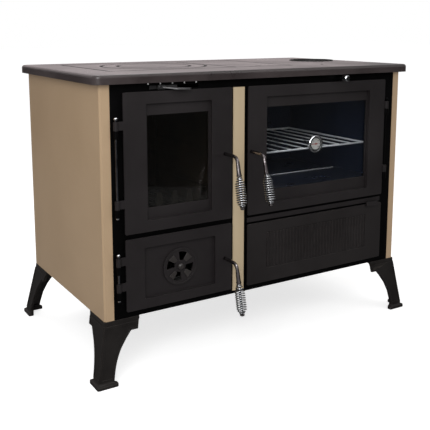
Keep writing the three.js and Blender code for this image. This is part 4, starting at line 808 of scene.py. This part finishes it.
floor_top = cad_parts["oven_mouth"].ray_cast(above_floor, Vector((0, 0, -1)))[1]
# Painted highlight: a bright strip for the lit front edge of the oven floor.
highlight_trim = eased_block(
    (trim_x, trim_y, floor_top.z + trim_tall / 2),
    (mouth_high[0] - mouth_low[0] - 60 * mm, trim_deep, trim_tall), 0.8 * mm, 3,
)
fit_piece(highlight_trim, "oven_box_front_trim", rack_nickel, "stove", 40)


# Air lever: a bent blade of bare steel, riveted to a slider that runs behind the frame's top
# edge. Five short white marks, painted thick on the frame, show how far it is open.
lever_steel = metal_finish(
    "lever_steel", tone(86, 85, 86), tone(128, 127, 128), tone(180, 180, 180),
    gloss=0.34, clouds=20, bump=0.1, edge=0.0006, rub_and_glint=0.4, metallic=1.0,
    stretch=(0.2, 1, 1),
)
dress(lever_steel, "air_lever")
mark_white = metal_finish(
    "mark_white", tone(226, 226, 224), tone(240, 240, 238), tone(160, 158, 154),
    gloss=0.5, clouds=60, grain=500, bump=0.1, edge=0.0003, rub_and_glint=0.5,
)
frame_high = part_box("front_frame")[1]
lever_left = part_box("air_lever")[0][0]
mark_gap = 37 * mm
marks = []
for step in range(5):
    place = (
        lever_left + step * mark_gap - mm, frame_high[1] - 4.1 * mm, frame_high[2] - 3.6 * mm,
    )
    marks.append(eased_block(place, (3.6 * mm, 0.5 * mm, 5.6 * mm), 0.15 * mm, 2))
fit_piece(joined(marks), "air_scale_marks", mark_white, "stove", 30)


# Hinge rods: turned steel pins with a ball at the head and the foot, dropped through the frame's
# and the doors' knuckles, oiled and darkened. The oven's rod is painted like the frame.
rod_steel = metal_finish(
    "rod_steel", tone(96, 96, 102), tone(124, 124, 130), tone(190, 190, 194),
    gloss=0.2, clouds=30, grain=500, bump=0.08, edge=0.0005, rub_and_glint=0.4, metallic=1.0,
)
dress(rod_steel, "firebox_hinge_rod", "ash_hinge_rod")
dress(frame_black, "oven_hinge_rod")
ball_radius, flat_height, flat_from = 5.2 * mm, 4.5 * mm, 4.2 * mm
for rod in ("firebox_hinge_rod", "ash_hinge_rod", "oven_hinge_rod"):
    rod_low, rod_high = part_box(rod)
    for end, height in (("head", rod_high[2] - 5 * mm), ("foot", rod_low[2] + 4.6 * mm)):
        bpy.ops.mesh.primitive_uv_sphere_add(
            segments=32, ring_count=16, radius=ball_radius,
            location=((rod_low[0] + rod_high[0]) / 2, (rod_low[1] + rod_high[1]) / 2, height),
        )
        ball = bpy.context.object
        for pole in (-1, 1):
            pick_faces(ball, lambda middle, normal: middle.z * pole > flat_from)
            flat = ball.location + Vector((0, 0, pole * flat_height))
            bpy.ops.transform.resize(value=(1, 1, 0), center_override=flat)
            bpy.ops.object.mode_set(mode="OBJECT")
        ball_finish = frame_black if rod == "oven_hinge_rod" else chrome
        fit_piece(ball, rod + "_" + end, ball_finish, "stove", 60)


# Doors and sill strip: thick steel sheet, pressed to a raised border and panel, welded to its
# knuckles and painted in heat-proof charcoal paint. The drawer's pull is folded from the same.
door_charcoal = metal_finish(
    "door_charcoal", tone(33, 29, 30), tone(39, 35, 36), tone(84, 78, 76),
    gloss=0.5, clouds=5, grain=420, bump=0.14, shine=0.25,
)
dress(door_charcoal, "firebox_door", "ash_door", "oven_door", "air_rosette", "drawer_pull")
dress(door_charcoal, "sill_strip")


# Air rosette: a pressed disc that turns on one screw over the ash door's holes. Its four petals
# stand between its openings, tilted a little, with an embossed rim; their paint is paler than the
# door's, partly worn by hands and partly a painted highlight.
rosette_low, rosette_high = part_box("air_rosette")
# Paler than the door's paint: partly wear, partly a painted highlight.
petal_worn_and_lit = metal_finish(
    "petal_worn_and_lit", tone(47, 43, 42), tone(60, 56, 54), tone(112, 106, 102),
    gloss=0.38, clouds=8, grain=420, bump=0.14, edge=0.0014, rub_and_glint=0.5, shine=0.4,
)
dress(petal_worn_and_lit, "rosette_screw")
rosette_centre = Vector((
    (rosette_low[0] + rosette_high[0]) / 2, rosette_low[1], (rosette_low[2] + rosette_high[2]) / 2,
))
bpy.ops.mesh.primitive_cube_add(size=1, location=(0, 0, 0))
petal = bpy.context.object
petal.scale = (21 * mm, 11 * mm, 1.4 * mm)
bpy.ops.object.transform_apply(location=False, rotation=False, scale=True)
pick_faces(petal, lambda middle, normal: normal.x > 0.9)
bpy.ops.transform.resize(value=(1, 1.9, 1), center_override=(0, 0, 0))
take_all()
bpy.ops.mesh.bevel(offset=0.5 * mm, segments=2, affect="EDGES")
pick_faces(petal, lambda middle, normal: normal.z > 0.99)
bpy.ops.mesh.inset(thickness=1.6 * mm, depth=0.25 * mm)
bpy.ops.mesh.inset(thickness=1.6 * mm, depth=0.12 * mm)
bpy.ops.object.mode_set(mode="OBJECT")
petal_out, petal_sunk, petal_tilt = 31 * mm, 1.1 * mm, math.radians(-9)
for step in range(4):
    spoke = copied(petal) if step < 3 else petal
    spoke.matrix_world = (
        Matrix.Translation(rosette_centre + Vector((0, petal_sunk, 0)))
        @ Matrix.Rotation(math.radians(45 + 90 * step), 4, "Y")
        @ Matrix.Rotation(math.pi / 2, 4, "X")
        @ Matrix.Translation((petal_out, 0, 0.5 * mm)) @ Matrix.Rotation(petal_tilt, 4, "X")
    )
    fit_piece(spoke, "rosette_spoke_" + str(step + 1), petal_worn_and_lit, "rosette", 40)


# Wood drawer's front: steel sheet with a row of pressed ribs, painted like the doors. Their edges
# are paler than the doors', partly rubbed shinier by use and partly a painted highlight on the
# ribs.
drawer_charcoal = metal_finish(
    "drawer_charcoal", tone(32, 28, 28), tone(38, 34, 34), tone(86, 78, 76),
    gloss=0.42, clouds=5, grain=420, bump=0.14, edge=0.0016, rub_and_glint=0.45, shine=0.34,
)
dress(drawer_charcoal, "drawer_front")


# Glass frames and panes: each heat-proof pane lies in its door from behind, under a black sheet
# frame that six screws hold. Smoke has browned the firebox door's pane a little.
dress(sheet_black, "firebox_glass_frame", "oven_glass_frame")
aside, above = 9 * mm, 16 * mm
for glass_frame, leaf in (("firebox_glass_frame", "firebox_door_leaf"),
                          ("oven_glass_frame", "oven_door_leaf")):
    low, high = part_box(glass_frame)
    for step in range(6):
        screw = copied(sheet_screw)
        screw.location = (
            low[0] + aside + (step % 2) * (high[0] - low[0] - 2 * aside), high[1],
            low[2] + above + (step // 2) * (high[2] - low[2] - 2 * above) / 2,
        )
        fit_piece(screw, glass_frame + "_screw_" + str(step + 1), sheet_black, leaf, 40)
bpy.data.objects.remove(sheet_screw)


def pane_glass(name, tint, smudge):
    """Clear heat-proof glass; light passes straight through it, so the inside is lit."""
    finish, surface = plain_paint(name, Base_Color=tint, Transmission_Weight=1.0, IOR=1.45)
    tree = finish.node_tree
    where = tree.nodes.new("ShaderNodeTexCoord")
    film = settle(tree.nodes.new("ShaderNodeTexNoise"), Scale=14, Detail=6)
    tree.links.new(where.outputs["Object"], film.inputs["Vector"])
    smudged = sized_map(tree, film.outputs["Fac"], 0.45, 0.8, smudge)
    tree.links.new(smudged, surface.inputs["Roughness"])
    clear = settle(tree.nodes.new("ShaderNodeBsdfTransparent"), Color=tint)
    ray = tree.nodes.new("ShaderNodeLightPath")
    mix = tree.nodes.new("ShaderNodeMixShader")
    tree.links.new(ray.outputs["Is Shadow Ray"], mix.inputs["Fac"])
    tree.links.new(surface.outputs["BSDF"], mix.inputs[1])
    tree.links.new(clear.outputs["BSDF"], mix.inputs[2])
    tree.links.new(mix.outputs["Shader"], tree.nodes["Material Output"].inputs["Surface"])
    return finish


fire_glass = pane_glass("fire_glass", tone(226, 222, 214), 0.06)
dress(fire_glass, "firebox_glass")


# Door seals: woven glass rope, laid as a ring behind each door's edge and glued into its
# channel. Closing the door has pressed it flat.
rope_grey = metal_finish(
    "rope_grey", tone(44, 43, 41), tone(74, 72, 68), tone(90, 88, 84),
    gloss=0.95, clouds=60, grain=900, bump=0.6, grain_depth=0.0005, edge=0.0005, rub_and_glint=0.1,
)


def rope_ring(name, body):
    """A flattened rope laid round a door's back, with eased corners, in its CAD ring's place."""
    low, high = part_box(name)
    thick = 2.5 * mm
    bpy.ops.mesh.primitive_plane_add(size=1, location=(0, 0, 0))
    ring = bpy.context.object
    ring.scale = (high[0] - low[0] - 2 * thick, high[2] - low[2] - 2 * thick, 1)
    bpy.ops.object.transform_apply(location=False, rotation=False, scale=True)
    bpy.ops.object.mode_set(mode="EDIT")
    bpy.ops.mesh.select_mode(type="VERT")
    take_all()
    bpy.ops.mesh.delete(type="ONLY_FACE")
    take_all()
    bpy.ops.mesh.bevel(offset=9 * mm, segments=6, affect="VERTICES")
    bpy.ops.object.mode_set(mode="OBJECT")
    bpy.ops.object.convert(target="CURVE")
    ring.data.dimensions = "3D"
    ring.data.bevel_depth = thick
    ring.data.bevel_resolution = 3
    bpy.ops.object.convert(target="MESH")
    ring.scale = (1, 1, (high[1] - low[1]) / (2 * thick))
    bpy.ops.object.transform_apply(location=False, rotation=False, scale=True)
    ring.rotation_euler = (math.pi / 2, 0, 0)
    ring.location = [(low[i] + high[i]) / 2 for i in range(3)]
    fit_piece(ring, name + "_rope", rope_grey, body, 60)
    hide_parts(name)


rope_ring("firebox_door_seal", "firebox_door_leaf")
rope_ring("ash_door_seal", "ash_door_leaf")
rope_ring("oven_door_seal", "oven_door_leaf")


# Door handles: a bent polished bar through the door, with a latch tongue behind. The grip is one
# chromed wire, wound as a barrel that is open in the middle and close at both ends, so that it
# stays cool. It is held between collars; painted shade darkens the wire between its turns and the
# bar inside it.
def build_crevice_shade():
    """Painted shade: the tone turns darker where a piece's own parts lie close together."""
    group, start, end = effect_group("Crevice grime", [
        ("Tone", "NodeSocketColor", (1, 1, 1, 1)), ("Grime", "NodeSocketColor", (0, 0, 0, 1)),
        ("Reach", "NodeSocketFloat", 0.004),
    ], [("Tone", "NodeSocketColor")])
    closed = group.nodes.new("ShaderNodeAmbientOcclusion")
    closed.samples = 8
    group.links.new(start.outputs["Reach"], closed.inputs["Distance"])
    open_share = sized_map(group, closed.outputs["AO"], 0.45, 0.8)
    soiled = blended(group, open_share, start.outputs["Grime"], start.outputs["Tone"])
    group.links.new(soiled, end.inputs["Tone"])
    return group


crevice_shade = build_crevice_shade()


def darken_crevices(finish, reach):
    """Works the crevice shading, a painted shade between close parts, into a finish, under its
    shine.
    """
    tree = finish.node_tree
    surface = tree.nodes["Principled BSDF"]
    clean = surface.inputs["Base Color"].links[0].from_socket
    # Painted shade: a near-black tone where the surface is closed in by its own parts.
    shading = placed_effect(tree, crevice_shade, Grime=tone(16, 13, 13), Reach=reach)
    tree.links.new(clean, shading.inputs["Tone"])
    tree.links.new(shading.outputs["Tone"], surface.inputs["Base Color"])


handle_steel = metal_finish(
    "handle_steel", tone(108, 101, 102), tone(140, 134, 135), tone(180, 176, 176),
    gloss=0.15, clouds=30, grain=500, bump=0.05, edge=0.0005, rub_and_glint=0.2, metallic=1.0,
)
shade_reach = 20 * mm
# Painted shade on the bar where the coil closes round it.
darken_crevices(handle_steel, shade_reach)
dress(handle_steel, "firebox_handle", "ash_handle", "oven_handle")
grip_chrome = metal_finish(
    "grip_chrome", tone(186, 187, 190), tone(222, 223, 226), tone(236, 236, 238),
    gloss=0.14, spread=0.08, clouds=20, grain=500, bump=0.03, edge=0.0004, rub_and_glint=0.2, metallic=1.0,
)
# Painted shade on the wire between its turns.
darken_crevices(grip_chrome, shade_reach)
grip_long, grip_wire = 88 * mm, 1.55 * mm
end_radius, barrel_swell = 6.6 * mm, 7.0 * mm
close_pitch, open_pitch = 3.6 * mm, 6.5 * mm
steps_per_turn = 20


def eased(share):
    """Nought to one, starting and ending gently."""
    share = min(1, max(0, share))
    return share * share * (3 - 2 * share)


wound = []
along, angle = grip_wire, 0.0
while along < grip_long - grip_wire:
    swell = eased((along - 3 * mm) / (19 * mm)) * eased((grip_long - 3 * mm - along) / (12 * mm))
    radius = end_radius + barrel_swell * swell
    wound.append(Vector((radius * math.cos(angle), radius * math.sin(angle), -along)))
    middle = eased((along - 4 * mm) / (8 * mm)) * eased((grip_long - 4 * mm - along) / (8 * mm))
    along += (close_pitch + (open_pitch - close_pitch) * middle) / steps_per_turn
    angle += 2 * math.pi / steps_per_turn
grip = drawn_line(wound)
bpy.ops.object.mode_set(mode="OBJECT")
bpy.ops.object.convert(target="CURVE")
grip.data.dimensions = "3D"
grip.data.bevel_depth = grip_wire
grip.data.bevel_resolution = 2
grip.data.use_fill_caps = True
bpy.ops.object.convert(target="MESH")
bar_lean = math.radians(14)
bend_end = Vector((0, -66.346 * mm, -16.678 * mm))
past_bend = Vector((0, -math.sin(bar_lean), -math.cos(bar_lean))) * 38.3 * mm
door_face = -266.846 * mm


def hang_grip(piece, name, root, turn, body):
    """Slides a grip over its bar: past the bend, along the lean, turned with the handle."""
    piece.matrix_world = (
        Matrix.Translation(root) @ Matrix.Rotation(turn, 4, "Y")
        @ Matrix.Translation(bend_end + past_bend) @ Matrix.Rotation(-bar_lean, 4, "X")
    )
    fit_piece(piece, name + "_wire", grip_chrome, body, 60)
    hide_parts(name)


def handle_root(handle, door, from_edge):
    """Where a handle's bar goes through its door, on the door's face."""
    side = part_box(door)[1][0] if from_edge < 0 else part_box(door)[0][0]
    return Vector((side + from_edge, door_face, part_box(handle)[1][2] - 7.5 * mm))


for leaf, from_edge, turn in (("firebox", -23, 1.5), ("ash", -23, 1), ("oven", 12, -1)):
    hang_grip(
        grip if leaf == "oven" else copied(grip), leaf + "_handle_spring",
        handle_root(leaf + "_handle", leaf + "_door", from_edge * mm),
        math.radians(turn), leaf + "_latch",
    )


# Oven thermometer: a dial of enamelled sheet with printed ticks and numbers and a black band,
# partly print and partly a painted shadow of the bezel, and a red pointer, in a chromed case under
# a domed lens. Its stem goes through the oven's pane.
oven_pane = pane_glass("oven_pane", tone(238, 240, 242), 0.03)
dress(oven_pane, "oven_glass")
dress(chrome, "thermometer_case")
case_low, case_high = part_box("thermometer_case")
dial_centre = Vector((
    (case_low[0] + case_high[0]) / 2, case_low[1], (case_low[2] + case_high[2]) / 2,
))
dial_radius = (case_high[0] - case_low[0]) / 2 - 4 * mm
dial_sunk, band_sunk, lens_sunk = 4.05 * mm, 3.91 * mm, 2.3 * mm
ticks_sunk, numbers_sunk = 3.79 * mm, 3.88 * mm
band_inner, band_outer, ink_thick = dial_radius * 0.74, dial_radius - 0.5 * mm, 0.08 * mm
dial_white = metal_finish(
    "dial_white", tone(196, 193, 190), tone(214, 211, 208), tone(220, 220, 218),
    gloss=0.3, clouds=20, grain=300, bump=0.03, edge=0.0003, rub_and_glint=0.1, metallic=0.2,
)
# Black ink for the numbers, also for the band that is partly painted shadow.
dial_ink_and_shadow = metal_finish(
    "dial_ink_and_shadow", tone(14, 14, 15), tone(22, 22, 24), tone(40, 40, 40),
    gloss=0.5, clouds=40, grain=700, bump=0.05, edge=0.0002, rub_and_glint=0.1, shine=0.3,
)
bpy.ops.mesh.primitive_cylinder_add(
    vertices=64, radius=dial_radius - 0.4 * mm, depth=0.3 * mm,
    location=dial_centre + Vector((0, dial_sunk, 0)), rotation=(math.pi / 2, 0, 0),
)
dial = bpy.context.object
pick_faces(dial, lambda middle, normal: normal.z > 0.9)
bpy.ops.mesh.inset(thickness=1.2 * mm, depth=-0.05 * mm)
bpy.ops.object.mode_set(mode="OBJECT")
fit_piece(dial, "thermometer_dial", dial_white, "oven_door_leaf", 30)
# Partly print, partly painted shadow: a black band round the dial's edge, under the bezel.
band = turned([
    (band_inner, 0), (band_outer, 0), (band_outer, ink_thick), (band_inner, ink_thick),
    (band_inner, 0),
], 64)
band.rotation_euler = (math.pi / 2, 0, 0)
band.location = dial_centre + Vector((0, band_sunk, 0))
fit_piece(band, "thermometer_band", dial_ink_and_shadow, "oven_door_leaf", 30)


def dial_place(share, reach, behind):
    """A place on the dial's scale, at a share of its sweep of 270 degrees, with its turn."""
    turn = math.radians(225 - 270 * share)
    place = Vector((reach * math.cos(turn), behind, reach * math.sin(turn)))
    return dial_centre + place, turn


ticks = []
for step in range(31):
    long_tick = step % 5 == 0
    tall = 3.4 * mm if long_tick else 1.8 * mm
    place, turn = dial_place(step / 30, dial_radius - 1.4 * mm - tall / 2, ticks_sunk)
    size = (tall, ink_thick, 0.7 * mm if long_tick else 0.4 * mm)
    ticks.append(eased_block(place, size, 0.02 * mm, 1, (0, -turn, 0)))
fit_piece(joined(ticks), "thermometer_ticks", mark_white, "oven_door_leaf", 30)

numbers = []
for step in range(7):
    place, turn = dial_place(step / 6, dial_radius - 9.8 * mm, numbers_sunk)
    bpy.ops.object.text_add(location=place, rotation=(math.pi / 2, 0, 0))
    number = bpy.context.object
    number.data.body = str(50 * step)
    number.data.size = 4.2 * mm
    number.data.align_x = "CENTER"
    number.data.align_y = "CENTER"
    number.data.extrude = 0.03 * mm
    bpy.ops.object.convert(target="MESH")
    numbers.append(number)
scale_numbers = joined(numbers)
bpy.ops.object.mode_set(mode="EDIT")
take_all()
bpy.ops.mesh.remove_doubles(threshold=0.000001)
bpy.ops.mesh.normals_make_consistent(inside=False)
bpy.ops.object.mode_set(mode="OBJECT")
fit_piece(scale_numbers, "thermometer_numbers", dial_ink_and_shadow, "oven_door_leaf", 30)

dial_glass = pane_glass("dial_glass", tone(244, 246, 246), 0.02)
lens = turned([
    (0, 0), (dial_radius - 0.3 * mm, 0), (dial_radius - 0.3 * mm, 0.6 * mm),
    (dial_radius * 0.8, 1.2 * mm), (dial_radius * 0.45, 1.7 * mm), (0, 1.9 * mm),
], 48)
lens.rotation_euler = (math.pi / 2, 0, 0)
lens.location = dial_centre + Vector((0, lens_sunk, 0))
fit_piece(lens, "thermometer_lens", dial_glass, "oven_door_leaf", 60)
needle_red = metal_finish(
    "needle_red", tone(150, 34, 26), tone(172, 44, 34), tone(120, 60, 50),
    gloss=0.4, clouds=40, grain=600, bump=0.05, edge=0.0002, rub_and_glint=0.1,
)
dress(needle_red, "thermometer_pointer")
